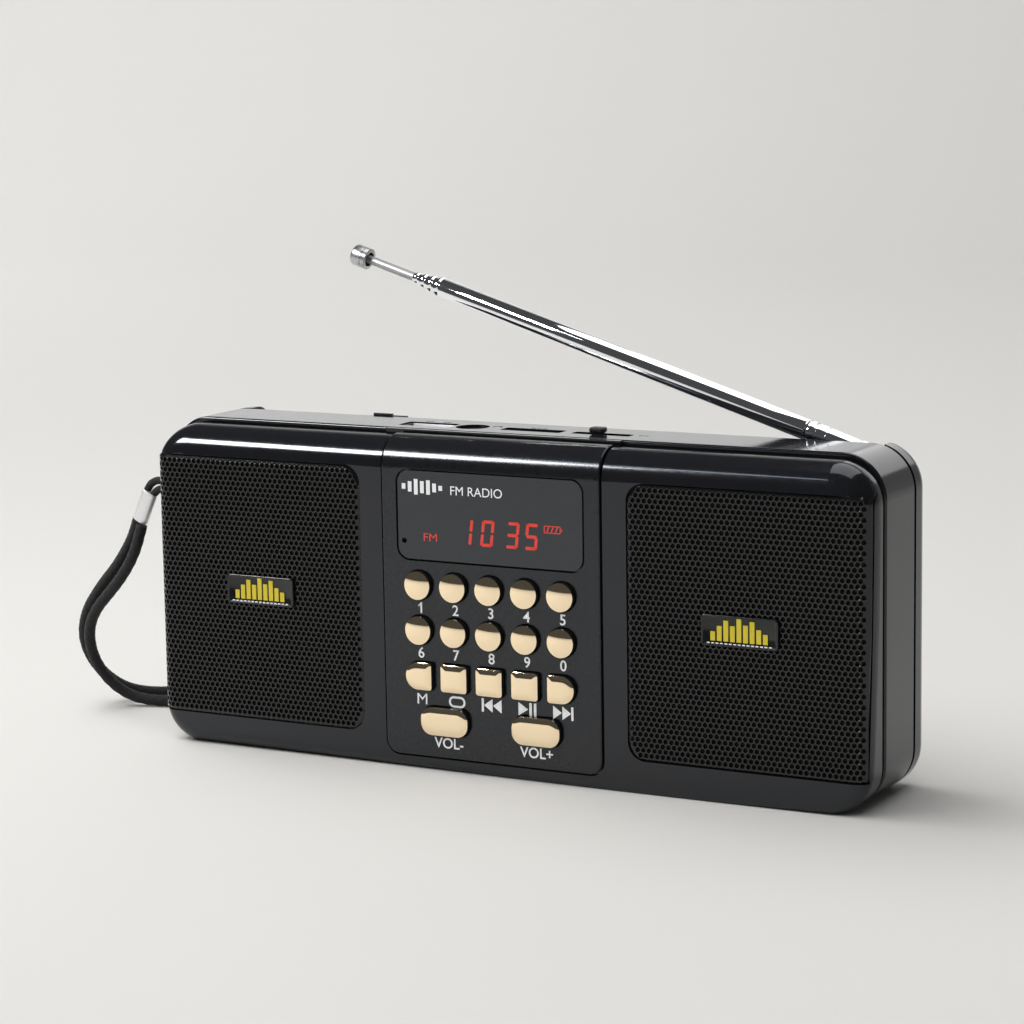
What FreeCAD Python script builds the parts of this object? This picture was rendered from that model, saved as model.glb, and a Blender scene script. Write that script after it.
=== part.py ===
import FreeCAD, Part
import Sketcher

import math
import operator
import os
from types import SimpleNamespace

# A tabletop radio: a three-part casing with two speaker grilles, a raised control panel
# with seventeen sprung keys, sockets along the top edge, a telescopic antenna on a swivel,
# and a wrist strap.
#
# Frame: millimetres, +Z up, X to the right as a user faces the radio, Y towards its back.
# The origin is on the surface the radio stands on, under the middle of its casing.

DIMENSIONS = {
    # casing
    "body_width": 200.0,
    "body_height": 85.0,
    "body_depth": 38.0,
    "wall": 2.2,
    "corner_radius": 11.0,
    "front_depth": 8.8,
    "groove_width": 1.4,
    "groove_depth": 1.0,
    "band_depth": 18.4,
    "seam_width": 0.8,
    "front_side_inset": 0.3,
    "front_top_drop": 1.3,
    "top_edge_radius": 7.5,
    "side_edge_radius": 4.0,
    "bottom_edge_radius": 2.5,
    "rear_edge_radius": 5.5,
    "band_edge_radius": 0.6,
    "cavity_edge_radius": 5.0,
    "lip_depth": 2.5,
    "lip_inset": 2.7,
    "lip_thickness": 1.3,
    "band_wall": 2.5,
    # screws and their posts
    "screw_side": 90.5,
    "screw_middle": 34.0,
    "screw_low": 9.0,
    "screw_high": 70.0,
    "screw_radius": 1.25,
    "screw_grip": 8.0,
    "screw_hole": 1.6,
    "head_radius": 2.6,
    "head_hole": 2.9,
    "head_depth": 3.0,
    "post_radius": 3.2,
    "boss_radius": 3.6,
    # grilles and speakers
    "grille_inner": 37.4,
    "grille_outer": 99.05,
    "grille_bottom": 8.3,
    "grille_top": 76.2,
    "grille_thickness": 0.7,
    "grille_corner": 4.5,
    "grille_gap": 0.15,
    "badge_width": 20.0,
    "badge_height": 7.6,
    "badge_thickness": 0.9,
    "speaker_offset": 67.3,
    "speaker_height": 42.3,
    "speaker_frame": 50.0,
    "speaker_mouth": 22.5,
    "speaker_screw": 22.5,
    # control panel
    "panel_width": 60.8,
    "panel_bottom": 3.6,
    "panel_raise": 0.6,
    "panel_thickness": 1.8,
    "panel_bend_height": 76.2,
    "panel_bend_radius": 8.0,
    "panel_corner": 3.5,
    "panel_clearance": 0.15,
    "panel_groove": 0.5,
    "panel_ease": 0.4,
    "window_width": 52.6,
    "window_bottom": 53.3,
    "window_top": 76.5,
    "window_depth": 1.2,
    "window_gap": 0.5,
    "window_corner": 3.6,
    "led_left": -10.0,
    "led_right": 21.5,
    "led_bottom": 55.5,
    "led_top": 68.5,
    # keys
    "key_pitch": 10.0,
    "key_radius": 3.65,
    "key_square_width": 7.4,
    "key_square_height": 7.0,
    "key_volume_width": 13.4,
    "key_volume_height": 7.2,
    "key_volume_offset": 12.9,
    "key_proud": 1.8,
    "key_gap": 0.3,
    "key_flange": 0.6,
    "key_flange_thickness": 1.0,
    "row_upper": 47.3,
    "row_lower": 35.9,
    "row_function": 24.3,
    "row_volume": 13.1,
    "board_front": 8.0,
    "board_thickness": 1.6,
    # top sockets
    "socket_line": -1.0,
    "usb_place": -27.0,
    "jack_place": -14.35,
    "jack_bore": 1.8,
    "jack_length": 14.0,
    "card_place": 2.85,
    "switch_place": 22.2,
    "knob_place": 21.0,
    "knob_width": 3.8,
    "knob_depth": 3.2,
    "knob_height": 1.4,
    "switch_slot": 16.0,
    "main_board_front": 1.9,
    "charge_place": -60.0,
    "charge_height": 20.0,
    # antenna
    "antenna_place": 88.0,
    "antenna_line": 14.5,
    "antenna_height": 80.8,
    "antenna_tilt": 17.44,
    "antenna_shelf": 76.9,
    "antenna_left": -88.0,
    "antenna_right": 91.8,
    "tang_half": 1.1,
    "fork_gap": 0.15,
    "fork_cheek": 1.5,
    "turret_radius": 3.6,
    "prong_left": -50.3,
    "prong_right": -44.8,
    "prong_height": 0.5,
    "tube_start": 18.9,
    "tube_end": 126.6,
    "tube_wall": 0.32,
    "first_radius": 2.65,
    "second_radius": 2.25,
    "third_radius": 1.9,
    "fourth_radius": 1.5,
    "rod_radius": 1.0,
    "tube_step": 2.35,
    "rod_end": 150.6,
    "tip_start": 147.7,
    "tip_length": 4.8,
    "tip_radius": 2.8,
    # battery bay
    "bay_width": 55.2,
    "bay_bottom": 15.0,
    "bay_top": 51.0,
    "door_width": 59.0,
    "door_bottom": 12.5,
    "door_top": 53.5,
    "door_thickness": 1.8,
    "door_gap": 0.4,
    # strap
    "strap_line": -5.0,
    "strap_height": 64.4,
    "strap_pin_inset": 1.7,
    "strap_diameter": 3.1,
    "tether_diameter": 2.1,
    "strap_pin_radius": 0.8,
    "ferrule_width": 4.6,
    "ferrule_thickness": 3.0,
    # details of the parts above
    "opening_bottom": 7.0,
    "opening_corner": 2.0,
    "shelf_left": -34.4,
    "shelf_right": 31.5,
    "usb_mouth_width": 14.6,
    "usb_mouth_depth": 6.8,
    "usb_mouth_corner": 0.8,
    "jack_mouth_radius": 4.3,
    "card_mouth_width": 16.8,
    "card_mouth_depth": 4.6,
    "card_mouth_corner": 0.6,
    "switch_slot_depth": 3.6,
    "bay_front": 9.0,
    "battery_front": 10.4,
    "turret_hole_radius": 2.05,
    "badge_corner": 0.8,
    "speaker_corner": 6.0,
    "basket_mouth": 23.6,
    "basket_throat": 15.0,
    "basket_depth": 8.0,
    "basket_bore": 22.6,
    "throat_bore": 14.0,
    "lug_radius": 1.2,
    "magnet_radius": 14.5,
    "screw_head_radius": 2.0,
    "screw_shank_radius": 1.1,
    "key_square_corner": 0.8,
    "key_volume_corner": 3.1,
    "lens_hole_radius": 0.7,
    "lens_hole_place": -24.1,
    "lens_hole_height": 58.3,
    "key_ease": 0.45,
    "pusher_radius": 1.5,
    "key_board_half": 27.0,
    "key_board_bottom": 8.0,
    "key_board_top": 74.0,
    "board_hole_radius": 1.3,
    "plunger_radius": 1.6,
    "jack_collar_radius": 4.0,
    "knob_corner": 0.9,
    "battery_corner": 2.5,
    "grip_half": 9.0,
    "stub_radius": 2.0,
    "cheek_radius": 2.6,
    "hinge_pin_radius": 0.9,
    "collar_radius": 2.75,
    "blank_reach": 6.0,
    "tang_below": 4.0,
    "tang_length": 6.5,
    "knuckle_bore": 0.96,
    "nose_radius": 2.5,
    "tube_lip": 0.25,
    "tip_bore": 1.9,
}

# Radius and distance from the speaker's front, round the cone's section.
CONE_PROFILE = [
    (0.0, 7.2),
    (6.0, 5.8),
    (7.0, 7.6),
    (17.6, 1.7),
    (19.4, 0.6),
    (21.2, 1.7),
    (22.6, 1.7),
    (22.6, 2.2),
    (21.0, 2.2),
    (19.4, 1.1),
    (17.8, 2.3),
    (7.0, 8.2),
    (5.8, 6.4),
    (0.0, 7.7),
]

MAIN_BOARD_OUTLINE = [
    (-40.0, 47.0),
    (36.0, 47.0),
    (36.0, 79.0),
    (-34.0, 79.0),
    (-40.0, 73.0),
]

# Radius and distance from the hinge pin, along the knuckle's outside.
KNUCKLE_PROFILE = [
    (0.0, -2.5),
    (2.5, -2.5),
    (2.5, 6.0),
    (2.75, 14.0),
    (2.75, 16.2),
    (2.4, 16.4),
    (2.4, 17.0),
    (2.75, 17.2),
]

# The strap's route, one loop from the ferrule down to the floor, round behind the radio and
# back. It is a limp cord, so the points are free-hand; the floor stretch lies flat.
STRAP_ROUTE = [
    (-114.4, -4.6, 53.95),
    (-115.3, -4.6, 51.2),
    (-117.0, -4.3, 47.0),
    (-119.9, -3.8, 42.4),
    (-123.6, -3.1, 38.0),
    (-128.2, -2.2, 33.6),
    (-133.2, -1.0, 29.0),
    (-136.9, 0.7, 23.6),
    (-138.3, 2.7, 17.6),
    (-137.7, 5.0, 11.8),
    (-134.8, 7.7, 6.4),
    (-130.8, 10.4, 2.9),
    (-126.0, 12.4, 1.65),
    (-120.4, 14.0, 1.65),
    (-114.6, 17.0, 1.65),
    (-109.0, 21.0, 1.65),
    (-101.8, 24.6, 1.65),
    (-92.8, 26.6, 1.65),
    (-82.8, 27.2, 1.65),
    (-73.2, 27.8, 1.65),
    (-64.4, 30.2, 1.65),
    (-59.6, 36.4, 1.65),
    (-61.2, 44.6, 1.65),
    (-68.6, 49.4, 1.65),
    (-77.4, 47.8, 1.65),
    (-86.0, 42.6, 1.65),
    (-95.2, 37.6, 1.65),
    (-105.6, 33.6, 1.65),
    (-115.6, 29.6, 1.65),
    (-124.0, 25.4, 1.65),
    (-130.6, 20.6, 1.75),
    (-135.4, 16.2, 3.2),
    (-138.8, 12.2, 6.6),
    (-141.2, 8.6, 11.4),
    (-142.2, 5.8, 17.2),
    (-141.0, 3.6, 22.6),
    (-137.9, 1.8, 28.4),
    (-133.4, 0.4, 33.6),
    (-129.6, -0.4, 37.6),
    (-125.7, -1.0, 41.4),
    (-121.7, -1.6, 46.4),
    (-118.5, -2.2, 51.3),
    (-116.6, -2.85, 55.6),
]

TETHER_UPPER = [
    (-112.3, -4.85, 63.05),
    (-111.4, -4.95, 64.8),
    (-110.0, -5.0, 65.95),
    (-108.3, -5.0, 66.6),
    (-105.2, -5.0, 66.6),
    (-102.0, -5.0, 66.45),
]

TETHER_LOWER = [
    (-102.0, -5.0, 63.1),
    (-104.4, -5.0, 64.3),
    (-107.05, -5.0, 64.45),
    (-108.75, -5.0, 63.8),
    (-110.1, -4.95, 62.6),
    (-110.6, -4.85, 61.65),
]

FERRULE_TOP = (-110.9, -5.0, 63.4)
FERRULE_END = (-115.4, -3.7, 55.2)

OPERATIONS = {
    "+": operator.add,
    "-": operator.sub,
    "*": operator.mul,
    "/": operator.truediv,
}


class Size:
    """A length that knows its value and the expression that it comes from."""

    def __init__(self, value, text=None):
        self.value = float(value)
        self.text = repr(float(value)) if text is None else text

    def __add__(self, other):
        return combine(self, "+", other)

    def __radd__(self, other):
        return combine(other, "+", self)

    def __sub__(self, other):
        return combine(self, "-", other)

    def __rsub__(self, other):
        return combine(other, "-", self)

    def __mul__(self, other):
        return combine(self, "*", other)

    def __rmul__(self, other):
        return combine(other, "*", self)

    def __truediv__(self, other):
        return combine(self, "/", other)

    def __neg__(self):
        return combine(0, "-", self)


def as_size(number):
    return number if isinstance(number, Size) else Size(number)


def combine(left, sign, right):
    left = as_size(left)
    right = as_size(right)
    value = OPERATIONS[sign](left.value, right.value)
    return Size(value, f"({left.text} {sign} {right.text})")


doc = FreeCAD.newDocument("TabletopRadio")


def make_sheet():
    """Put every driving dimension in a sheet cell that carries its name."""
    sheet = doc.addObject("Spreadsheet::Sheet", "Dims")
    for row, (alias, value) in enumerate(DIMENSIONS.items(), start=1):
        sheet.set(f"A{row}", alias)
        sheet.set(f"B{row}", str(value))
        sheet.setAlias(f"B{row}", alias)
    doc.recompute()
    return SimpleNamespace(
        **{alias: Size(sheet.get(alias), f"Dims.{alias}") for alias in DIMENSIONS}
    )


d = make_sheet()

ZERO = Size(0)

# Planes that the pieces share, from the front of the radio to its back.
FRONT = -d.body_depth / 2
FRONT_END = FRONT + d.front_depth
BAND_START = FRONT_END + d.groove_width
BAND_END = BAND_START + d.band_depth
REAR_START = BAND_END + d.seam_width
REAR = d.body_depth / 2
PANEL_FACE = FRONT - d.panel_raise
PANEL_BACK = PANEL_FACE + d.panel_thickness
BOARD_FRONT = FRONT + d.board_front
HALF = d.body_width / 2

parts = {}


def keep(name, shape_object):
    """Name a finished sub-part; the label is also its file's name."""
    shape_object.Label = name
    parts[name] = shape_object
    return shape_object


def bind(item, **sizes):
    for prop, size in sizes.items():
        item.setExpression(prop.replace("__", "."), as_size(size).text)


def place(item, x=0, y=0, z=0):
    bind(item, Placement__Base__x=x, Placement__Base__y=y, Placement__Base__z=z)


# ---------------------------------------------------------------- primitives


def box(name, x, y, z):
    """A block between two positions on each axis."""
    item = doc.addObject("Part::Box", name)
    bind(item, Length=x[1] - x[0], Width=y[1] - y[0], Height=z[1] - z[0])
    place(item, x[0], y[0], z[0])
    item.recompute()
    return item


def cylinder(name, axis, radius, start, end, centre):
    """A round bar along axis, from start to end; centre is its place on the other two."""
    item = doc.addObject("Part::Cylinder", name)
    bind(item, Radius=radius, Height=end - start)
    if axis == "X":
        item.Placement = FreeCAD.Placement(
            FreeCAD.Vector(), FreeCAD.Rotation(FreeCAD.Vector(0, 1, 0), 90)
        )
        place(item, start, centre[0], centre[1])
    elif axis == "Y":
        item.Placement = FreeCAD.Placement(
            FreeCAD.Vector(), FreeCAD.Rotation(FreeCAD.Vector(1, 0, 0), -90)
        )
        place(item, centre[0], start, centre[1])
    else:
        place(item, centre[0], centre[1], start)
    item.recompute()
    return item


def cone(name, axis_start, radius_start, radius_end, length, centre):
    """A cone along +Y."""
    item = doc.addObject("Part::Cone", name)
    bind(item, Radius1=radius_start, Radius2=radius_end, Height=length)
    item.Placement = FreeCAD.Placement(
        FreeCAD.Vector(), FreeCAD.Rotation(FreeCAD.Vector(1, 0, 0), -90)
    )
    place(item, centre[0], axis_start, centre[1])
    item.recompute()
    return item


def fuse(name, items):
    item = doc.addObject("Part::MultiFuse", name)
    item.Shapes = items
    item.recompute()
    return item


def cut(name, base, *tools):
    item = doc.addObject("Part::Cut", name)
    item.Base = base
    item.Tool = tools[0] if len(tools) == 1 else fuse(name + "_tools", list(tools))
    item.recompute()
    return item


def common(name, *items):
    item = doc.addObject("Part::MultiCommon", name)
    item.Shapes = list(items)
    item.recompute()
    return item


def group(name, items):
    item = doc.addObject("Part::Compound", name)
    item.Links = items
    item.recompute()
    return item


def mirrored(name, item):
    """The same piece on the other side of the radio's middle."""
    copy = doc.addObject("Part::Mirroring", name)
    copy.Source = item
    copy.Normal = FreeCAD.Vector(1, 0, 0)
    copy.recompute()
    return copy


def rounded(name, item, chosen):
    """Fillet the edges that chosen(edge) gives a radius, or a pair of radii, for."""
    fillets = []
    for index, edge in enumerate(item.Shape.Edges, start=1):
        radius = chosen(edge)
        if radius is None:
            continue
        first, last = radius if isinstance(radius, tuple) else (radius, radius)
        fillets.append((index, as_size(first).value, as_size(last).value))
    result = doc.addObject("Part::Fillet", name)
    result.Base = item
    result.Edges = fillets
    result.recompute()
    return result


def near(value, size):
    return abs(value - as_size(size).value) < 1e-4


def runs_along(edge, axis):
    """True for a straight edge parallel to one axis."""
    if not isinstance(edge.Curve, (Part.Line, Part.LineSegment)):
        return False
    tangent = edge.tangentAt(edge.FirstParameter)
    return abs(abs(getattr(tangent, axis)) - 1) < 1e-6


def plate(name, x, z, y, radius):
    """A plate facing the user, with its four corners rounded."""
    blank = box(name + "_blank", x, y, z)
    return rounded(name, blank, lambda edge: radius if runs_along(edge, "y") else None)


# ---------------------------------------------------------------- sketched bodies


def new_body(name):
    return doc.addObject("PartDesign::Body", name)


def sketch_on(body, name, role, offset=0):
    """A sketch on one of the body's own origin planes, moved along its normal."""
    sketch = body.newObject("Sketcher::SketchObject", name)
    plane = next(f for f in body.Origin.OriginFeatures if f.Role == role)
    sketch.AttachmentSupport = [(plane, "")]
    sketch.MapMode = "FlatFace"
    bind(sketch, AttachmentOffset__Base__z=offset)
    return sketch


def constrain(sketch, kind, *where, size):
    index = sketch.addConstraint(Sketcher.Constraint(kind, *where, as_size(size).value))
    if isinstance(size, Size):
        sketch.setExpression(f"Constraints[{index}]", size.text)


def draw_circle(sketch, radius, x=0, y=0):
    """A circle held by its radius and its centre's distances from the sketch origin."""
    radius, x, y = as_size(radius), as_size(x), as_size(y)
    centre = FreeCAD.Vector(x.value, y.value, 0)
    circle = sketch.addGeometry(
        Part.Circle(centre, FreeCAD.Vector(0, 0, 1), radius.value)
    )
    constrain(sketch, "Radius", circle, size=radius)
    constrain(sketch, "DistanceX", -1, 1, circle, 3, size=x)
    constrain(sketch, "DistanceY", -1, 1, circle, 3, size=y)


def draw_outline(sketch, points):
    """A closed outline of straight lines, with every corner held by two distances."""
    corners = [(as_size(x), as_size(y)) for x, y in points]
    lines = []
    for (x1, y1), (x2, y2) in zip(corners, corners[1:] + corners[:1]):
        start = FreeCAD.Vector(x1.value, y1.value, 0)
        end = FreeCAD.Vector(x2.value, y2.value, 0)
        lines.append(sketch.addGeometry(Part.LineSegment(start, end)))
    for line, following in zip(lines, lines[1:] + lines[:1]):
        sketch.addConstraint(Sketcher.Constraint("Coincident", line, 2, following, 1))
    for line, (x, y) in zip(lines, corners):
        constrain(sketch, "DistanceX", -1, 1, line, 1, size=x)
        constrain(sketch, "DistanceY", -1, 1, line, 1, size=y)


def pad(body, sketch, length, name):
    feature = body.newObject("PartDesign::Pad", name)
    feature.Profile = sketch
    bind(feature, Length=length)
    feature.Reversed = True
    body.Tip = feature
    return feature


def pocket(body, sketch, name):
    feature = body.newObject("PartDesign::Pocket", name)
    feature.Profile = sketch
    feature.Type = "ThroughAll"
    feature.Midplane = True
    body.Tip = feature
    return feature


def turned(name, outline):
    """A solid of revolution about Z from an outline of (radius, height) corners."""
    body = new_body(name)
    sketch = sketch_on(body, name + "_section", "XZ_Plane")
    draw_outline(sketch, outline)
    spin = body.newObject("PartDesign::Revolution", name + "_turn")
    spin.Profile = sketch
    spin.ReferenceAxis = (sketch, ["V_Axis"])
    spin.Angle = 360
    body.Tip = spin
    doc.recompute()
    return body


# ---------------------------------------------------------------- casing


def casing_block(name, x, y, z, radius):
    """A block of the casing's outline, with its four long corners rounded."""
    blank = box(name + "_blank", x, y, z)
    return rounded(name, blank, lambda edge: radius if runs_along(edge, "y") else None)


def front_block():
    """The front shell's outer form: a bull-nosed top edge that eases into the sides."""
    side = HALF - d.front_side_inset
    top = d.body_height - d.front_top_drop
    blank = casing_block(
        "front_blank",
        (-side, side),
        (FRONT, FRONT_END),
        (ZERO, top),
        d.corner_radius - 0.5,
    )

    def edge_radius(edge):
        if not all(near(v.Y, FRONT) for v in edge.Vertexes):
            return None
        heights = [v.Z for v in edge.Vertexes]
        middle = d.body_height.value / 2
        if runs_along(edge, "x"):
            return d.top_edge_radius if heights[0] > middle else d.bottom_edge_radius
        if runs_along(edge, "z"):
            return d.side_edge_radius
        end_radius = d.top_edge_radius if heights[0] > middle else d.bottom_edge_radius
        first_is_end = abs(heights[0] - middle) > abs(heights[-1] - middle)
        pair = (end_radius, d.side_edge_radius)
        return pair if first_is_end else pair[::-1]

    return rounded("front_form", blank, edge_radius)


def panel_form(name, groove, clearance):
    """The control panel's bent plate, grown by a groove round its rim and a clearance behind."""
    centre = FRONT - d.panel_raise + d.panel_bend_radius
    side = d.panel_width / 2 + groove
    outer = d.panel_bend_radius + clearance
    inner = d.panel_bend_radius - d.panel_thickness - clearance
    flat = box(
        name + "_flat",
        (-side, side),
        (PANEL_FACE - clearance, PANEL_BACK + clearance),
        (d.panel_bottom - groove, d.panel_bend_height),
    )
    rim = (-side, side)
    bend_centre = (centre, d.panel_bend_height)
    outside = cylinder(name + "_outside", "X", outer, *rim, bend_centre)
    inside = cylinder(name + "_inside", "X", inner, *rim, bend_centre)
    quarter = box(
        name + "_quarter",
        (-side - 1, side + 1),
        (PANEL_FACE - clearance - 1, centre + groove),
        (d.panel_bend_height, d.body_height + 3),
    )
    bend = common(name + "_bend", cut(name + "_ring", outside, inside), quarter)
    whole = fuse(name + "_whole", [flat, bend])
    mask = plate(
        name + "_mask",
        (-side, side),
        (d.panel_bottom - groove, d.body_height + 20),
        (PANEL_FACE - 2, FRONT_END + 2),
        d.panel_corner + groove,
    )
    return common(name, whole, mask)


def grille_window(name, gap):
    """The prism that bounds the right grille, with only its inner corners rounded."""
    prism = plate(
        name + "_prism",
        (d.grille_inner - gap, d.grille_outer + 3 * d.grille_corner),
        (d.grille_bottom - gap, d.grille_top + gap),
        (FRONT - 1, FRONT_END - 2),
        d.grille_corner + gap,
    )
    limit = box(
        name + "_limit",
        (d.grille_inner - 2, d.grille_outer + gap),
        (FRONT - 2, FRONT_END),
        (ZERO, d.body_height),
    )
    return common(name, prism, limit)


def grille_seat():
    """The front form set in by the grille's thickness: what the grilles lie on."""
    side = HALF - d.front_side_inset - d.grille_thickness
    radius = d.side_edge_radius - d.grille_thickness
    blank = box(
        "seat_blank",
        (-side, side),
        (FRONT + d.grille_thickness, FRONT_END + 1),
        (ZERO - 1, d.body_height + 1),
    )
    return rounded(
        "grille_seat",
        blank,
        lambda edge: radius
        if runs_along(edge, "z") and near(edge.Vertexes[0].Y, FRONT + d.grille_thickness)
        else None,
    )


def screw_places():
    """The six case screws, as (x, z)."""
    corners = (
        (d.screw_side, d.screw_low),
        (d.screw_side, d.screw_high),
        (d.screw_middle, d.screw_low),
    )
    return [(sign * x, z) for sign in (1, -1) for x, z in corners]


def speaker_screw_places():
    """Four screws round each speaker, as (x, z)."""
    return [
        (
            side * d.speaker_offset + dx * d.speaker_screw,
            d.speaker_height + dz * d.speaker_screw,
        )
        for side in (1, -1)
        for dx in (1, -1)
        for dz in (1, -1)
    ]


def make_front_shell(form, seat):
    side = HALF - d.front_side_inset - d.wall
    floor = FRONT + d.wall
    cavity_blank = casing_block(
        "front_cavity_blank",
        (-side, side),
        (floor, FRONT_END + 1),
        (d.wall, d.body_height - d.front_top_drop - d.wall),
        d.corner_radius - d.wall,
    )
    cavity = rounded(
        "front_cavity",
        cavity_blank,
        lambda edge: d.cavity_edge_radius if all(near(v.Y, floor) for v in edge.Vertexes) else None,
    )
    window = grille_window("grille_recess", d.grille_gap)
    recess = cut("right_recess", window, seat)
    tools = [cavity, recess, mirrored("left_recess", recess)]
    tools.append(panel_form("panel_recess", d.panel_groove, d.panel_clearance))
    for side_name, sign in (("right", 1), ("left", -1)):
        tools.append(
            cylinder(
                side_name + "_mouth",
                "Y",
                d.speaker_mouth,
                FRONT - 1,
                FRONT + d.wall + 1,
                (sign * d.speaker_offset, d.speaker_height),
            )
        )
    opening = d.panel_width / 2 - 2.8
    tools.append(
        plate(
            "panel_opening",
            (-opening, opening),
            (d.opening_bottom, d.window_top - 0.6),
            (FRONT - 1, FRONT + d.wall + 1),
            d.opening_corner,
        )
    )
    shell = cut("front_hollow", form, *tools)
    posts = []
    for number, (x, z) in enumerate(screw_places(), start=1):
        post = cylinder(f"post_{number}", "Y", d.post_radius, floor, REAR_START, (x, z))
        bore = cylinder(
            f"post_bore_{number}", "Y", d.screw_radius, REAR_START - d.screw_grip - 2, REAR_START, (x, z)
        )
        posts.append(cut(f"post_tube_{number}", post, bore))
    keep("front_shell", fuse("front_shell", [shell] + posts))


def ring(name, y, outer, inner, radius, drop=ZERO):
    """A rounded rectangular ring; outer and inner are its insets from the casing.

    Drop lowers its top side further."""

    def block(part, inset, depth):
        return casing_block(
            name + part,
            (inset - HALF, HALF - inset),
            depth,
            (inset, d.body_height - inset - drop),
            radius - inset,
        )

    return cut(
        name,
        block("_outer", outer, y),
        block("_inner", inner, (y[0] - 1, y[1] + 1)),
    )


def make_middle_band():
    """The band between the two shells, with the sockets in its top wall."""
    thickness = d.band_wall
    outline = casing_block(
        "band_outline",
        (-HALF, HALF),
        (BAND_START, BAND_END),
        (ZERO, d.body_height),
        d.corner_radius,
    )
    eased = rounded(
        "band_eased",
        outline,
        lambda edge: d.band_edge_radius
        if near(edge.Vertexes[0].Y, edge.Vertexes[-1].Y)
        else None,
    )
    hollow = casing_block(
        "band_hollow",
        (thickness - HALF, HALF - thickness),
        (BAND_START - 1, BAND_END + 1),
        (thickness, d.body_height - thickness),
        d.corner_radius - thickness,
    )
    body = cut("band_ring", eased, hollow)
    groove_floor = d.groove_depth + d.front_side_inset
    lip_end = d.lip_inset + d.lip_thickness
    drop = d.front_top_drop - d.front_side_inset
    neck = ring(
        "band_neck",
        (FRONT_END, BAND_START + 2),
        groove_floor,
        lip_end,
        d.corner_radius,
        drop,
    )
    back_neck = ring(
        "band_back_neck", (BAND_END, REAR_START), groove_floor, thickness, d.corner_radius
    )
    lip = ring(
        "band_lip",
        (FRONT_END - d.lip_depth, BAND_START + 1),
        d.lip_inset,
        lip_end,
        d.corner_radius,
        drop,
    )
    antenna_wall = box(
        "antenna_wall",
        (d.antenna_left - 2, d.antenna_right + 2),
        (BAND_END - 1.4, REAR_START),
        (d.antenna_shelf - 3, d.body_height - thickness + 0.2),
    )
    shelf = box(
        "socket_shelf",
        (d.shelf_left, d.shelf_right),
        (FRONT_END + 0.2, BAND_START + 1),
        (d.body_height - thickness, d.body_height - 0.1),
    )
    strap_block = box(
        "strap_block",
        (thickness - HALF - 0.5, thickness - HALF + 3.6),
        (d.strap_line - 2.8, d.strap_line + 4),
        (d.strap_height - 7, d.strap_height + 7),
    )
    whole = fuse(
        "band_whole", [body, neck, back_neck, lip, antenna_wall, shelf, strap_block]
    )
    line = d.socket_line
    top = (d.body_height - 6, d.body_height + 1)
    openings = [
        plate_up(
            "usb_opening",
            d.usb_place,
            line,
            d.usb_mouth_width,
            d.usb_mouth_depth,
            top,
            d.usb_mouth_corner,
        ),
        cylinder("jack_opening", "Z", d.jack_mouth_radius, *top, (d.jack_place, line)),
        plate_up(
            "card_opening",
            d.card_place,
            line,
            d.card_mouth_width,
            d.card_mouth_depth,
            top,
            d.card_mouth_corner,
        ),
        plate_up(
            "switch_opening",
            d.switch_place,
            line,
            d.switch_slot,
            d.switch_slot_depth,
            top,
            d.usb_mouth_corner,
        ),
        box(
            "strap_slot",
            (-HALF - 1, 4.8 - HALF),
            (d.strap_line - 1.6, d.strap_line + 1.6),
            (d.strap_height - 4.4, d.strap_height + 4.4),
        ),
    ]
    keep("middle_band", cut("middle_band", whole, *openings))


def plate_up(name, x, y, width, depth, z, radius):
    """A prism that stands on its outline, with its four upright edges rounded."""
    blank = box(
        name + "_blank",
        (x - width / 2, x + width / 2),
        (y - depth / 2, y + depth / 2),
        z,
    )
    return rounded(name, blank, lambda edge: radius if runs_along(edge, "z") else None)


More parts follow.
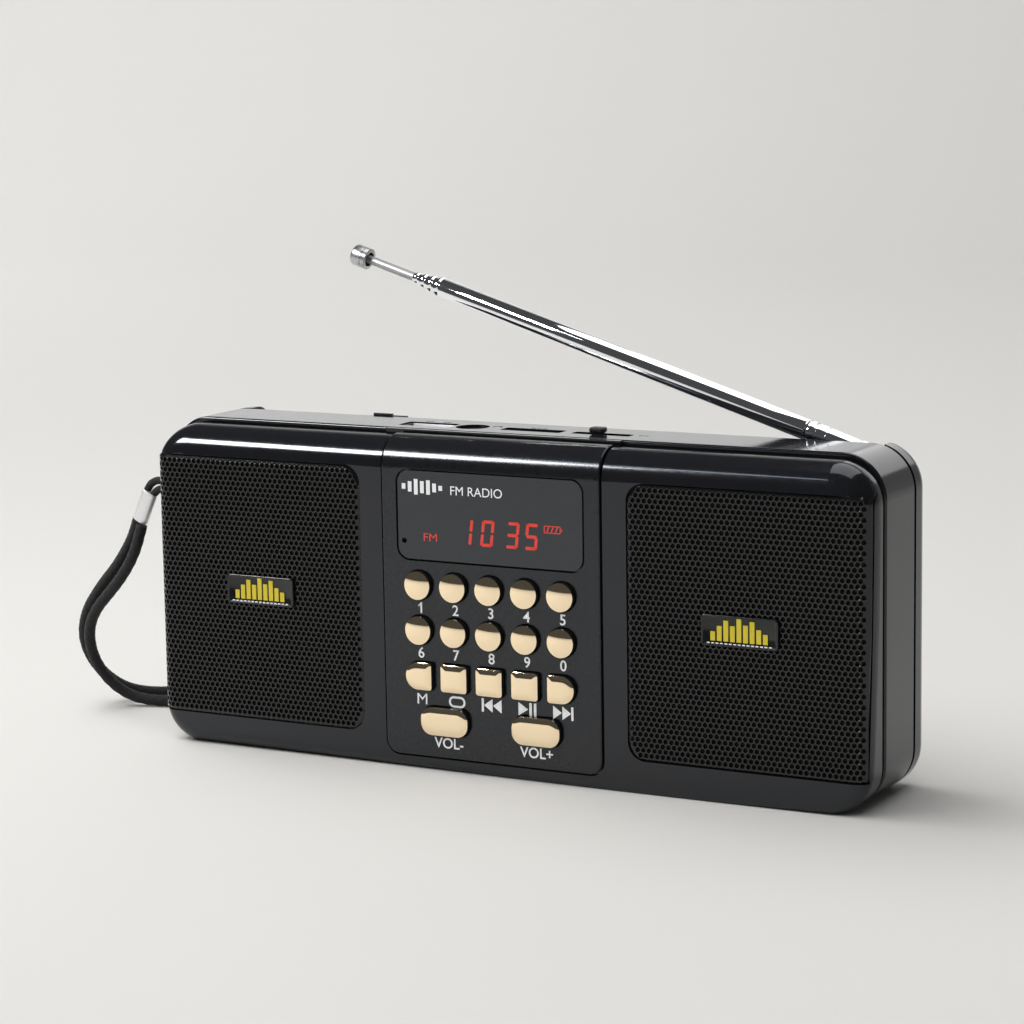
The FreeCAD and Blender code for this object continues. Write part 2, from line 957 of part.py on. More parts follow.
def make_rear_cover():
    """The back of the casing: a shelf for the antenna, and the battery bay."""
    outline = casing_block(
        "rear_outline",
        (-HALF, HALF),
        (REAR_START, REAR),
        (ZERO, d.body_height),
        d.corner_radius,
    )
    form = rounded(
        "rear_form",
        outline,
        lambda edge: d.rear_edge_radius if all(near(v.Y, REAR) for v in edge.Vertexes) else None,
    )
    cavity = casing_block(
        "rear_cavity",
        (d.wall - HALF + 0.6, HALF - d.wall - 0.6),
        (REAR_START - 1, REAR - d.wall),
        (d.wall + 0.6, d.antenna_shelf - d.wall),
        d.corner_radius - 3,
    )
    shelf = box(
        "antenna_shelf_cut",
        (d.antenna_left, d.antenna_right),
        (REAR_START - 1, REAR + 1),
        (d.antenna_shelf, d.body_height + 1),
    )
    shell = cut("rear_hollow", form, cavity, shelf)
    half_bay = d.bay_width / 2
    bay_block = box(
        "bay_block",
        (-half_bay - 1.6, half_bay + 1.6),
        (d.bay_front, REAR - 1),
        (d.bay_bottom - 1.6, d.bay_top + 1.6),
    )
    bosses = []
    holes = []
    for number, (x, z) in enumerate(screw_places(), start=1):
        head = REAR - d.head_depth
        bosses.append(cylinder(f"boss_{number}", "Y", d.boss_radius, REAR_START, REAR - 1, (x, z)))
        holes.append(cylinder(f"boss_hole_{number}", "Y", d.screw_hole, REAR_START - 1, REAR, (x, z)))
        holes.append(cylinder(f"head_hole_{number}", "Y", d.head_hole, head, REAR + 1, (x, z)))
    front_rest, rear_rest = antenna_rests()
    solid = fuse("rear_solid", [shell, bay_block, *bosses, front_rest, rear_rest])
    bay = box(
        "bay_hollow",
        (-half_bay, half_bay),
        (d.battery_front, REAR + 1),
        (d.bay_bottom, d.bay_top),
    )
    gap = d.door_gap
    half_door = d.door_width / 2
    door_seat = box(
        "door_seat",
        (-half_door - gap, half_door + gap),
        (REAR - d.door_thickness - 0.1, REAR + 1),
        (d.door_bottom - gap, d.door_top + gap),
    )
    pivot_hole = cylinder(
        "turret_hole",
        "Z",
        d.turret_hole_radius,
        d.antenna_shelf - 4,
        d.antenna_shelf + 1,
        (d.antenna_place, d.antenna_line),
    )
    x, z = d.charge_place, d.charge_height
    charge_hole = box("charge_hole", (x - 4.7, x + 4.7), (REAR - 4, REAR + 1), (z - 2, z + 2))
    keep(
        "rear_cover",
        cut("rear_cover", solid, bay, door_seat, pivot_hole, charge_hole, *holes),
    )


def antenna_rests():
    """Two small prongs on the shelf; the folded antenna's tip lies between them."""
    x = (d.prong_left, d.prong_right)
    z = (d.antenna_shelf - 0.5, d.body_height + d.prong_height)
    front = box("front_prong", x, (REAR_START, REAR_START + 0.9), z)
    rear = box("rear_prong", x, (REAR - 1.3, REAR - 0.3), (z[0], d.body_height - 1))
    return front, rear


# ---------------------------------------------------------------- grilles and speakers


def make_grilles(form, seat):
    skin = cut("front_skin", form, seat)
    window = grille_window("grille_bounds", ZERO)
    right = common("grille_right", skin, window)
    keep("right_grille", right)
    keep("left_grille", mirrored("grille_left", right))
    for name, sign in (("right_badge", 1), ("left_badge", -1)):
        centre = sign * d.speaker_offset
        half = d.badge_width / 2
        keep(
            name,
            plate(
                name,
                (centre - half, centre + half),
                (d.speaker_height - d.badge_height / 2, d.speaker_height + d.badge_height / 2),
                (FRONT - d.badge_thickness, FRONT),
                d.badge_corner,
            ),
        )


def make_speaker(side_name, sign):
    """One loudspeaker: a square pressed frame, a paper cone and a round magnet."""
    x = sign * d.speaker_offset
    z = d.speaker_height
    back = FRONT + d.wall
    half = d.speaker_frame / 2
    flange = plate(
        side_name + "_flange",
        (x - half, x + half),
        (z - half, z + half),
        (back, back + 1.2),
        d.speaker_corner,
    )
    basket = cone(side_name + "_basket", back + 1.2, d.basket_mouth, d.basket_throat, d.basket_depth, (x, z))
    basket_inside = cone(
        side_name + "_basket_inside", back + 1.2, d.basket_bore, d.throat_bore, d.basket_depth, (x, z)
    )
    yoke = cylinder(side_name + "_yoke", "Y", d.basket_throat, back + 9.2, back + 10.4, (x, z))
    mouth = cylinder(
        side_name + "_frame_mouth", "Y", d.basket_bore, back - 1, back + 1.2, (x, z)
    )
    slots = [
        box(side_name + f"_slot_{index}", *span)
        for index, span in enumerate(
            (
                ((x - 30, x + 30), (back + 3, back + 7), (z - 6, z + 6)),
                ((x - 6, x + 6), (back + 3, back + 7), (z - 30, z + 30)),
            )
        )
    ]
    screw_holes = [
        cylinder(side_name + f"_lug_{index}", "Y", d.lug_radius, back - 1, back + 3, place_xz)
        for index, place_xz in enumerate(
            (x + dx * d.speaker_screw, z + dz * d.speaker_screw)
            for dx in (1, -1)
            for dz in (1, -1)
        )
    ]
    wall = cut(side_name + "_basket_wall", basket, basket_inside, *slots)
    frame = cut(
        side_name + "_speaker_frame",
        fuse(side_name + "_frame_solid", [flange, wall, yoke]),
        mouth,
        *screw_holes,
    )
    keep(side_name + "_speaker_frame", frame)
    diaphragm = turned(
        side_name + "_speaker_cone",
        [(Size(radius), Size(along)) for radius, along in CONE_PROFILE],
    )
    diaphragm.Placement = FreeCAD.Placement(
        FreeCAD.Vector(), FreeCAD.Rotation(FreeCAD.Vector(1, 0, 0), -90)
    )
    place(diaphragm, x, FRONT + 1.2, z)
    keep(side_name + "_speaker_cone", diaphragm)
    magnet = cylinder(
        side_name + "_speaker_magnet", "Y", d.magnet_radius, back + 10.4, back + 18.4, (x, z)
    )
    keep(side_name + "_speaker_magnet", magnet)


def make_screws():
    """The case screws and the speaker screws, each set one group."""
    case = []
    for number, (x, z) in enumerate(screw_places(), start=1):
        seat = REAR - d.head_depth
        head = cylinder(f"case_head_{number}", "Y", d.head_radius, seat, seat + 1.8, (x, z))
        shank = cylinder(
            f"case_shank_{number}", "Y", d.screw_radius, REAR_START - d.screw_grip, seat, (x, z)
        )
        drive = box(
            f"case_drive_{number}",
            (x - 1.5, x + 1.5),
            (REAR - 1.9, REAR - 1),
            (z - 0.3, z + 0.3),
        )
        cross = box(
            f"case_cross_{number}",
            (x - 0.3, x + 0.3),
            (REAR - 1.9, REAR - 1),
            (z - 1.5, z + 1.5),
        )
        case.append(cut(f"case_screw_{number}", fuse(f"case_bar_{number}", [head, shank]), drive, cross))
    keep("case_screws", group("case_screws", case))
    small = []
    back = FRONT + d.wall
    for number, (x, z) in enumerate(speaker_screw_places(), start=1):
        head = cylinder(f"small_head_{number}", "Y", d.screw_head_radius, back + 1.2, back + 2.4, (x, z))
        shank = cylinder(f"small_shank_{number}", "Y", d.screw_shank_radius, back, back + 1.2, (x, z))
        small.append(fuse(f"small_screw_{number}", [head, shank]))
    keep("speaker_screws", group("speaker_screws", small))


# ---------------------------------------------------------------- control panel and keys


def key_layout():
    """Every key as (name, kind, x, z)."""
    keys = []
    for row, height in ((("1", "2", "3", "4", "5"), d.row_upper), (("6", "7", "8", "9", "0"), d.row_lower)):
        for column, digit in enumerate(row):
            keys.append((f"key_{digit}", "round", d.key_pitch * (column - 2), height))
    functions = (
        ("key_mode", "left"),
        ("key_repeat", "square"),
        ("key_previous", "square"),
        ("key_play", "square"),
        ("key_next", "right"),
    )
    for column, (name, kind) in enumerate(functions):
        keys.append((name, kind, d.key_pitch * (column - 2), d.row_function))
    keys.append(("key_volume_down", "wide", -d.key_volume_offset, d.row_volume))
    keys.append(("key_volume_up", "wide", d.key_volume_offset, d.row_volume))
    return keys


def key_size(kind):
    """Half width, half height and corner radius of a key's outline."""
    if kind == "round":
        return d.key_radius, d.key_radius, None
    if kind in ("square", "left", "right"):
        return d.key_square_width / 2, d.key_square_height / 2, d.key_square_corner
    return d.key_volume_width / 2, d.key_volume_height / 2, d.key_volume_corner


def key_prism(name, kind, x, z, y, grow):
    """A prism of a key's outline, grown by a margin."""
    wide, tall, corner = key_size(kind)
    if kind == "round":
        return cylinder(name, "Y", wide + grow, y[0], y[1], (x, z))
    across = (x - wide - grow, x + wide + grow)
    upright = (z - tall - grow, z + tall + grow)
    if kind in ("square", "wide"):
        return plate(name, across, upright, y, corner + grow)
    blank = box(name + "_blank", across, y, upright)
    swept = tall - 0.05 + grow

    def edge_radius(edge):
        if not runs_along(edge, "y"):
            return None
        on_left = edge.Vertexes[0].X < as_size(x).value
        return swept if on_left == (kind == "left") else corner + grow

    return rounded(name, blank, edge_radius)


def panel_edge_radius(edge):
    """The ease on the panel's front outline, along its flat face and round its bend."""
    on_face = all(near(vertex.Y, PANEL_FACE) for vertex in edge.Vertexes)
    seam = runs_along(edge, "x") and near(edge.Vertexes[0].Z, d.panel_bend_height)
    on_bend = isinstance(edge.Curve, Part.Circle) and near(edge.Curve.Radius, d.panel_bend_radius)
    return d.panel_ease if (on_face and not seam) or on_bend else None


def make_control_panel():
    blank = panel_form("panel_blank", ZERO, ZERO)
    form = rounded("panel_eased", blank, panel_edge_radius)
    seat_side = d.window_width / 2
    gap = d.window_gap
    through = (PANEL_FACE - 1, PANEL_BACK + 1)
    holes = [
        plate(
            "window_seat",
            (-seat_side, seat_side),
            (d.window_bottom, d.window_top),
            (PANEL_FACE - 1, PANEL_FACE + d.window_depth),
            d.window_corner,
        ),
        box(
            "led_opening",
            (d.led_left - 0.5, d.led_right + 0.5),
            through,
            (d.led_bottom - 0.5, d.led_top + 0.5),
        ),
    ]
    for name, kind, x, z in key_layout():
        holes.append(key_prism(name + "_hole", kind, x, z, through, d.key_gap))
    keep("control_panel", cut("control_panel", form, *holes))
    lens = plate(
        "lens_blank",
        (gap - seat_side, seat_side - gap),
        (d.window_bottom + gap, d.window_top - gap),
        (PANEL_FACE + 0.05, PANEL_FACE + d.window_depth),
        d.window_corner - gap,
    )
    pin_hole = cylinder(
        "lens_hole",
        "Y",
        d.lens_hole_radius,
        PANEL_FACE - 1,
        PANEL_FACE + 3,
        (d.lens_hole_place, d.lens_hole_height),
    )
    keep("display_window", cut("display_window", lens, pin_hole))


def make_key(name, kind, x, z):
    """A key: a cap with eased edges, a flange behind the panel, and a pusher."""
    front = PANEL_FACE - d.key_proud
    flange_front = PANEL_BACK + 0.2
    flange_back = flange_front + d.key_flange_thickness
    cap_blank = key_prism(name + "_cap_blank", kind, x, z, (front, flange_back), ZERO)
    cap = rounded(
        name + "_cap",
        cap_blank,
        lambda edge: d.key_ease if all(near(v.Y, front) for v in edge.Vertexes) else None,
    )
    flange = key_prism(name + "_flange", kind, x, z, (flange_front, flange_back), d.key_flange)
    pusher = cylinder(name + "_pusher", "Y", d.pusher_radius, flange_back, flange_back + 1.2, (x, z))
    keep(name, fuse(name, [cap, flange, pusher]))


def make_boards():
    """The key board with its switches and display, and the main board."""
    board = new_body("key_board")
    outline = sketch_on(board, "key_board_outline", "XZ_Plane", -BOARD_FRONT)
    draw_outline(
        outline,
        [
            (-d.key_board_half, d.key_board_bottom),
            (d.key_board_half, d.key_board_bottom),
            (d.key_board_half, d.key_board_top),
            (-d.key_board_half, d.key_board_top),
        ],
    )
    pad(board, outline, d.board_thickness, "key_board_pad")
    drill = sketch_on(board, "key_board_drill", "XZ_Plane", -BOARD_FRONT)
    for x in (-24, 24):
        for z in (10.5, 71.5):
            draw_circle(drill, d.board_hole_radius, x, z)
    pocket(board, drill, "key_board_holes")
    doc.recompute()
    keep("key_board", board)

    switches = []
    for name, _, x, z in key_layout():
        case = box(
            name + "_switch_case",
            (x - 3, x + 3),
            (BOARD_FRONT - 2.6, BOARD_FRONT),
            (z - 3, z + 3),
        )
        plunger = cylinder(
            name + "_plunger", "Y", d.plunger_radius, BOARD_FRONT - 3.5, BOARD_FRONT - 2.6, (x, z)
        )
        switches.append(fuse(name + "_switch", [case, plunger]))
    keep("tact_switches", group("tact_switches", switches))

    keep(
        "display_module",
        box(
            "display_module",
            (d.led_left, d.led_right),
            (PANEL_FACE + d.window_depth, BOARD_FRONT),
            (d.led_bottom, d.led_top),
        ),
    )

    main = new_body("main_board")
    face = d.main_board_front
    outline = sketch_on(main, "main_board_outline", "XZ_Plane", -face)
    draw_outline(
        outline,
        [(Size(x), Size(z)) for x, z in MAIN_BOARD_OUTLINE],
    )
    pad(main, outline, d.board_thickness, "main_board_pad")
    drill = sketch_on(main, "main_board_drill", "XZ_Plane", -face)
    for x in (-36, 32):
        for z in (51, 72):
            draw_circle(drill, d.board_hole_radius, x, z)
    pocket(main, drill, "main_board_holes")
    doc.recompute()
    keep("main_board", main)


# ---------------------------------------------------------------- sockets and switch


def make_sockets():
    line = d.socket_line
    top = d.body_height
    usb_x = d.usb_place
    case = box(
        "usb_case",
        (usb_x - 6.8, usb_x + 6.8),
        (line - 2.9, line + 2.9),
        (top - 15, top - 1),
    )
    hollow = box(
        "usb_hollow",
        (usb_x - 6.2, usb_x + 6.2),
        (line - 2.3, line + 2.3),
        (top - 12, top),
    )
    tongue = box(
        "usb_tongue",
        (usb_x - 5.6, usb_x + 5.6),
        (line + 0.1, line + 1.8),
        (top - 12.5, top - 2.2),
    )
    keep("usb_socket", fuse("usb_socket", [cut("usb_can", case, hollow), tongue]))

    jack_x = d.jack_place
    mouth = top - 0.8
    body = box(
        "jack_case",
        (jack_x - 3.5, jack_x + 3.5),
        (line - 2.9, line + 2.9),
        (mouth - d.jack_length - 1.2, mouth - 3.4),
    )
    collar = cylinder("jack_collar", "Z", d.jack_collar_radius, mouth - 3.4, mouth, (jack_x, line))
    bore = cylinder("jack_bore", "Z", d.jack_bore, mouth - d.jack_length, mouth + 1, (jack_x, line))
    keep("aux_jack", cut("aux_jack", fuse("jack_solid", [body, collar]), bore))

    card_x = d.card_place
    case = box(
        "card_case",
        (card_x - 7.2, card_x + 7.2),
        (line - 1.9, line + 2.9),
        (top - 18, top - 2.6),
    )
    mouth = box(
        "card_mouth",
        (card_x - 7.2, card_x + 7.2),
        (line - 1.9, line + 1.9),
        (top - 3, top - 1.2),
    )
    slot = box(
        "card_slot_hollow",
        (card_x - 5.8, card_x + 5.8),
        (line - 0.6, line + 0.6),
        (top - 16, top),
    )
    keep("card_slot", cut("card_slot", fuse("card_solid", [case, mouth]), slot))

    switch_x = d.switch_place
    case = box(
        "switch_case",
        (switch_x - 9.2, switch_x + 9.2),
        (line - 2.8, line + 2.9),
        (top - 9, top - 2.6),
    )
    track = box(
        "switch_track",
        (switch_x - 8, switch_x + 8),
        (line - 1.5, line + 1.5),
        (top - 5, top),
    )
    keep("switch_body", cut("switch_body", case, track))

    knob_x = d.knob_place
    cap = box(
        "knob_cap",
        (knob_x - d.knob_width / 2, knob_x + d.knob_width / 2),
        (line - d.knob_depth / 2, line + d.knob_depth / 2),
        (top + 0.3, top + 0.3 + d.knob_height),
    )
    eased = rounded("knob_eased", cap, lambda edge: d.knob_corner if runs_along(edge, "z") else None)
    stem = box(
        "knob_stem",
        (knob_x - 1.5, knob_x + 1.5),
        (line - 1.2, line + 1.2),
        (top - 4.6, top + 0.5),
    )
    keep("switch_knob", fuse("switch_knob", [eased, stem]))

    x, z = d.charge_place, d.charge_height
    case = box("charge_case", (x - 4.3, x + 4.3), (REAR - 5.5, REAR - 0.4), (z - 1.6, z + 1.6))
    hollow = box("charge_hollow", (x - 3.8, x + 3.8), (REAR - 4.5, REAR), (z - 1.1, z + 1.1))
    tongue = box("charge_tongue", (x - 2.2, x + 2.2), (REAR - 5, REAR - 1.4), (z - 0.1, z + 0.5))
    keep("charge_socket", fuse("charge_socket", [cut("charge_can", case, hollow), tongue]))


# ---------------------------------------------------------------- battery


def make_battery():
    half = d.bay_width / 2
    cell = plate(
        "battery",
        (0.6 - half, half - 0.6),
        (d.bay_bottom + 0.6, d.bay_top - 0.6),
        (d.battery_front, REAR - d.door_thickness - 0.5),
        d.battery_corner,
    )
    keep("battery", cell)

    half_door = d.door_width / 2
    thickness = d.door_thickness
    radius = thickness / 2
    lid = box(
        "door_plate",
        (-half_door, half_door),
        (REAR - thickness, REAR),
        (d.door_bottom + radius, d.door_top),
    )
    barrel = cylinder(
        "door_barrel",
        "X",
        radius,
        -half_door,
        half_door,
        (REAR - radius, d.door_bottom + radius),
    )
    grips = [
        box(
            f"door_grip_{index}",
            (-d.grip_half, d.grip_half),
            (REAR - 0.5, REAR + 1),
            (d.door_top - 5 - 1.6 * index, d.door_top - 4.2 - 1.6 * index),
        )
        for index in range(4)
    ]
    keep("battery_door", cut("battery_door", fuse("door_solid", [lid, barrel]), *grips))


# ---------------------------------------------------------------- antenna


def along_antenna(item):
    """Lay a piece built up +Z from the hinge pin along the raised antenna."""
    item.Placement = FreeCAD.Placement(
        FreeCAD.Vector(), FreeCAD.Rotation(FreeCAD.Vector(0, 1, 0), -60)
    )
    bind(item, Placement__Rotation__Angle=90 - d.antenna_tilt)
    item.setExpression("Placement.Rotation.Axis.x", "0")
    item.setExpression("Placement.Rotation.Axis.y", "-1")
    item.setExpression("Placement.Rotation.Axis.z", "0")
    place(item, d.antenna_place, d.antenna_line, d.antenna_height)
    item.recompute()


def make_antenna_base():
    """The swivel: a turret with a fork for the hinge, on a stub in the rear cover."""
    x, y = d.antenna_place, d.antenna_line
    floor = d.antenna_shelf
    foot = cylinder("turret_foot", "Z", d.turret_radius, floor + 0.05, floor + 1.2, (x, y))
    stub = cylinder("turret_stub", "Z", d.stub_radius, floor - 3.4, floor + 0.6, (x, y))
    inner = d.tang_half + d.fork_gap
    outer = inner + d.fork_cheek
    cheeks = []
    for name, span in (("front", (y - outer, y - inner)), ("rear", (y + inner, y + outer))):
        disc = cylinder(f"{name}_cheek_disc", "Y", d.cheek_radius, *span, (x, d.antenna_height))
        web = box(
            f"{name}_cheek_web",
            (x - d.cheek_radius, x + d.cheek_radius),
            span,
            (floor + 1, d.antenna_height),
        )
        cheeks.append(fuse(f"{name}_cheek", [disc, web]))
    solid = fuse("turret_solid", [foot, stub] + cheeks)
    hole = cylinder("turret_pin_hole", "Y", d.hinge_pin_radius, y - 5, y + 5, (x, d.antenna_height))
    keep("antenna_base", cut("antenna_base", solid, hole))
    pin_end = outer + 0.15
    pin = cylinder(
        "antenna_pin",
        "Y",
        d.hinge_pin_radius,
        y - pin_end,
        y + pin_end,
        (x, d.antenna_height),
    )
    keep("antenna_pin", pin)


def make_knuckle():
    """The hinged foot of the antenna: a flat tang that swells into a round collar."""
    bar = turned(
        "knuckle_bar",
        [(Size(radius), Size(along)) for radius, along in KNUCKLE_PROFILE]
        + [
            (d.collar_radius, d.tube_start),
            (d.first_radius - d.tube_wall, d.tube_start),
            (d.first_radius - d.tube_wall, d.tube_start + 2.2),
            (ZERO, d.tube_start + 2.2),
        ],
    )
    flats = [
        box(
            f"knuckle_flat_{index}",
            (-d.blank_reach, d.blank_reach),
            (sign * d.tang_half, sign * (d.tang_half + 4)) if sign > 0
            else (sign * (d.tang_half + 4), sign * d.tang_half),
            (-d.tang_below, d.tang_length),
        )
        for index, sign in enumerate((1, -1))
    ]
    reach = (-d.blank_reach, d.blank_reach)
    origin = (ZERO, ZERO)
    pin_hole = cylinder("knuckle_pin_hole", "Y", d.knuckle_bore, *reach, origin)
    corner = box("knuckle_blank", reach, reach, (-d.tang_below, ZERO))
    nose = cylinder("knuckle_nose", "Y", d.nose_radius, reach[0] - 1, reach[1] + 1, origin)
    knuckle = cut("antenna_knuckle", bar, *flats, pin_hole, cut("knuckle_corner", corner, nose))
    along_antenna(knuckle)
    keep("antenna_knuckle", knuckle)


def make_tube(name, radius, bore, start, end):
    """One telescoping tube, its mouth rolled in a little."""
    lip = d.tube_lip
    tube = turned(
        name,
        [
            (bore, start),
            (radius, start),
            (radius, end - lip),
            (radius - lip / 2, end),
            (bore, end),
        ],
    )
    along_antenna(tube)
    keep(name, tube)


def make_antenna():
    make_antenna_base()
    make_knuckle()
    wall = d.tube_wall
    start, end, step = d.tube_start, d.tube_end, d.tube_step
    radii = (d.first_radius, d.second_radius, d.third_radius, d.fourth_radius)
    for index, radius in enumerate(radii):
        make_tube(
            f"antenna_tube_{index + 1}",
            radius,
            radius - wall,
            start if index == 0 else start + 3 + index,
            end + step * index,
        )
    rod = turned(
        "antenna_rod",
        [
            (ZERO, start + 18),
            (d.rod_radius, start + 18),
            (d.rod_radius, d.rod_end),
            (ZERO, d.rod_end),
        ],
    )
    along_antenna(rod)
    keep("antenna_rod", rod)
    tip_end = d.tip_start + d.tip_length
    tip = turned(
        "antenna_tip",
        [
            (d.rod_radius, d.rod_end - 0.1),
            (d.tip_bore, d.rod_end - 0.1),
            (d.tip_bore, d.tip_start),
            (d.tip_radius, d.tip_start),
            (d.tip_radius, tip_end - 0.4),
            (d.tip_radius - 0.4, tip_end),
            (ZERO, tip_end),
            (ZERO, d.rod_end),
            (d.rod_radius, d.rod_end),
        ],
    )
    along_antenna(tip)
    keep("antenna_tip", tip)


# ---------------------------------------------------------------- strap


def smooth_path(points, name):
    """Straight runs joined by tangent arcs, each as large as its two runs allow."""
    corners = [FreeCAD.Vector(*point) for point in points]
    edges = []
    radii = []
    length = 0.0
    last = corners[0]
    for before, corner, after in zip(corners, corners[1:], corners[2:]):
        arriving = (corner - before).normalize()
        leaving = (after - corner).normalize()
        turn = arriving.getAngle(leaving)
        shorter = min(corner.distanceToPoint(before), corner.distanceToPoint(after))
        reach = 0.45 * shorter
        radius = reach / math.tan(turn / 2)
        radii.append(radius)
        start = corner - arriving * reach
        end = corner + leaving * reach
        inward = (leaving - arriving).normalize()
        centre = corner + inward * (radius / math.cos(turn / 2))
        middle = centre - inward * radius
        edges.append(Part.LineSegment(last, start).toShape())
        edges.append(Part.Arc(start, middle, end).toShape())
        length += last.distanceToPoint(start) + radius * turn
        last = end
    edges.append(Part.LineSegment(last, corners[-1]).toShape())
    length += last.distanceToPoint(corners[-1])
    print(name, "length", round(length, 1), "radii", [round(radius, 1) for radius in radii])
    return Part.Wire(edges), length


def tube_along(name, wire, length, diameter):
    """A round tube along a wire, checked against its section times its length."""
    start = wire.Edges[0].valueAt(wire.Edges[0].FirstParameter)
    heading = wire.Edges[0].tangentAt(wire.Edges[0].FirstParameter)
    section = Part.Wire([Part.Circle(start, heading, diameter.value / 2).toShape()])
    solid = wire.makePipeShell([section], True, False)
    expected = math.pi * diameter.value**2 / 4 * length
    print(name, "volume", round(solid.Volume, 1), "section times length", round(expected, 1))
    if abs(solid.Volume - expected) > 0.03 * expected:
        raise ValueError(name + " has the wrong volume")
    item = doc.addObject("Part::Feature", name)
    item.Shape = solid
    item.Placement = FreeCAD.Placement()
    return item


def make_tether():
    """A thin cord doubled round the strap pin, both ends held by the ferrule."""
    pin = FreeCAD.Vector((d.strap_pin_inset - HALF).value, d.strap_line.value, d.strap_height.value)
    bend = d.strap_pin_radius.value + d.tether_diameter.value / 2 + 0.05
    over = pin + FreeCAD.Vector(0, 0, bend)
    under = pin - FreeCAD.Vector(0, 0, bend)
    round_pin = pin + FreeCAD.Vector(bend, 0, 0)
    upper = TETHER_UPPER + [tuple(over)]
    lower = [tuple(under)] + TETHER_LOWER
    first, first_length = smooth_path(upper, "strap_tether upper")
    second, second_length = smooth_path(lower, "strap_tether lower")
    turn = Part.Arc(over, round_pin, under).toShape()
    wire = Part.Wire(first.Edges + [turn] + second.Edges)
    length = first_length + second_length + math.pi * bend
    keep("strap_tether", tube_along("strap_tether", wire, length, d.tether_diameter))


def make_strap():
    pin = cylinder(
        "strap_pin",
        "Y",
        d.strap_pin_radius,
        d.strap_line - 2.6,
        d.strap_line + 2.6,
        (d.strap_pin_inset - HALF, d.strap_height),
    )
    keep("strap_pin", pin)
    make_tether()

    top = FreeCAD.Vector(*FERRULE_TOP)
    end = FreeCAD.Vector(*FERRULE_END)
    heading = end - top
    ferrule = new_body("strap_ferrule")
    outline = sketch_on(ferrule, "ferrule_outline", "XY_Plane")
    half = (d.ferrule_width - d.ferrule_thickness) / 2
    draw_slot(outline, half, d.ferrule_thickness / 2)
    feature = pad(ferrule, outline, Size(heading.Length), "ferrule_pad")
    feature.Reversed = False
    doc.recompute()
    ferrule.Placement = FreeCAD.Placement(
        top, FreeCAD.Rotation(FreeCAD.Vector(0, 1, 0), FreeCAD.Vector(1, 0, 0), heading, "ZXY")
    )
    keep("strap_ferrule", ferrule)

    wire, length = smooth_path(STRAP_ROUTE, "strap_loop")
    keep("strap_loop", tube_along("strap_loop", wire, length, d.strap_diameter))


def draw_slot(sketch, half, radius):
    """A slot with round ends, long in the sketch's own vertical direction."""
    h, r = half.value, radius.value
    up = FreeCAD.Vector(0, 0, 1)
    arc_top = sketch.addGeometry(
        Part.ArcOfCircle(Part.Circle(FreeCAD.Vector(0, h, 0), up, r), 0, math.pi)
    )
    left = sketch.addGeometry(
        Part.LineSegment(FreeCAD.Vector(-r, h, 0), FreeCAD.Vector(-r, -h, 0))
    )
    arc_low = sketch.addGeometry(
        Part.ArcOfCircle(Part.Circle(FreeCAD.Vector(0, -h, 0), up, r), math.pi, 2 * math.pi)
    )
    right = sketch.addGeometry(
        Part.LineSegment(FreeCAD.Vector(r, -h, 0), FreeCAD.Vector(r, h, 0))
    )
    for first, first_end, second, second_end in (
        (arc_top, 2, left, 1),
        (left, 2, arc_low, 1),
        (arc_low, 2, right, 1),
        (right, 2, arc_top, 1),
    ):
        sketch.addConstraint(
            Sketcher.Constraint("Tangent", first, first_end, second, second_end)
        )
    sketch.addConstraint(Sketcher.Constraint("Vertical", left))
    sketch.addConstraint(Sketcher.Constraint("Equal", arc_top, arc_low))
    sketch.addConstraint(Sketcher.Constraint("PointOnObject", arc_top, 3, -2))
    constrain(sketch, "Radius", arc_top, size=radius)
    constrain(sketch, "DistanceY", -1, 1, arc_top, 3, size=half)
    constrain(sketch, "DistanceY", arc_low, 3, -1, 1, size=half)


# ---------------------------------------------------------------- build and export


def build():
    form = front_block()
    seat = grille_seat()
    make_front_shell(form, seat)
    make_middle_band()
    make_rear_cover()
    make_grilles(form, seat)
    make_control_panel()
    for key in key_layout():
        make_key(*key)
    make_boards()
    make_sockets()
    make_speaker("right", 1)
    make_speaker("left", -1)
    make_battery()
    make_screws()
    make_antenna()
    make_strap()
    doc.recompute()


def check_document():
    """Stop if any object failed, or any sub-part's shape is empty or invalid."""
    for item in doc.Objects:
        if "Invalid" in item.State or "Error" in item.State:
            raise ValueError(f"{item.Label} is in state {item.State}")
    for name, item in parts.items():
        if item.Shape.isNull() or not item.Shape.isValid() or not item.Shape.Solids:
            raise ValueError(f"{name} has no valid solid")


def export():
    os.makedirs("parts", exist_ok=True)
    for name, item in parts.items():
        item.Shape.exportStep(os.path.join("parts", name + ".step"))
    print(len(parts), "sub-parts written")


build()
check_document()
export()
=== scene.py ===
import math

import bpy
from mathutils import Matrix, Vector


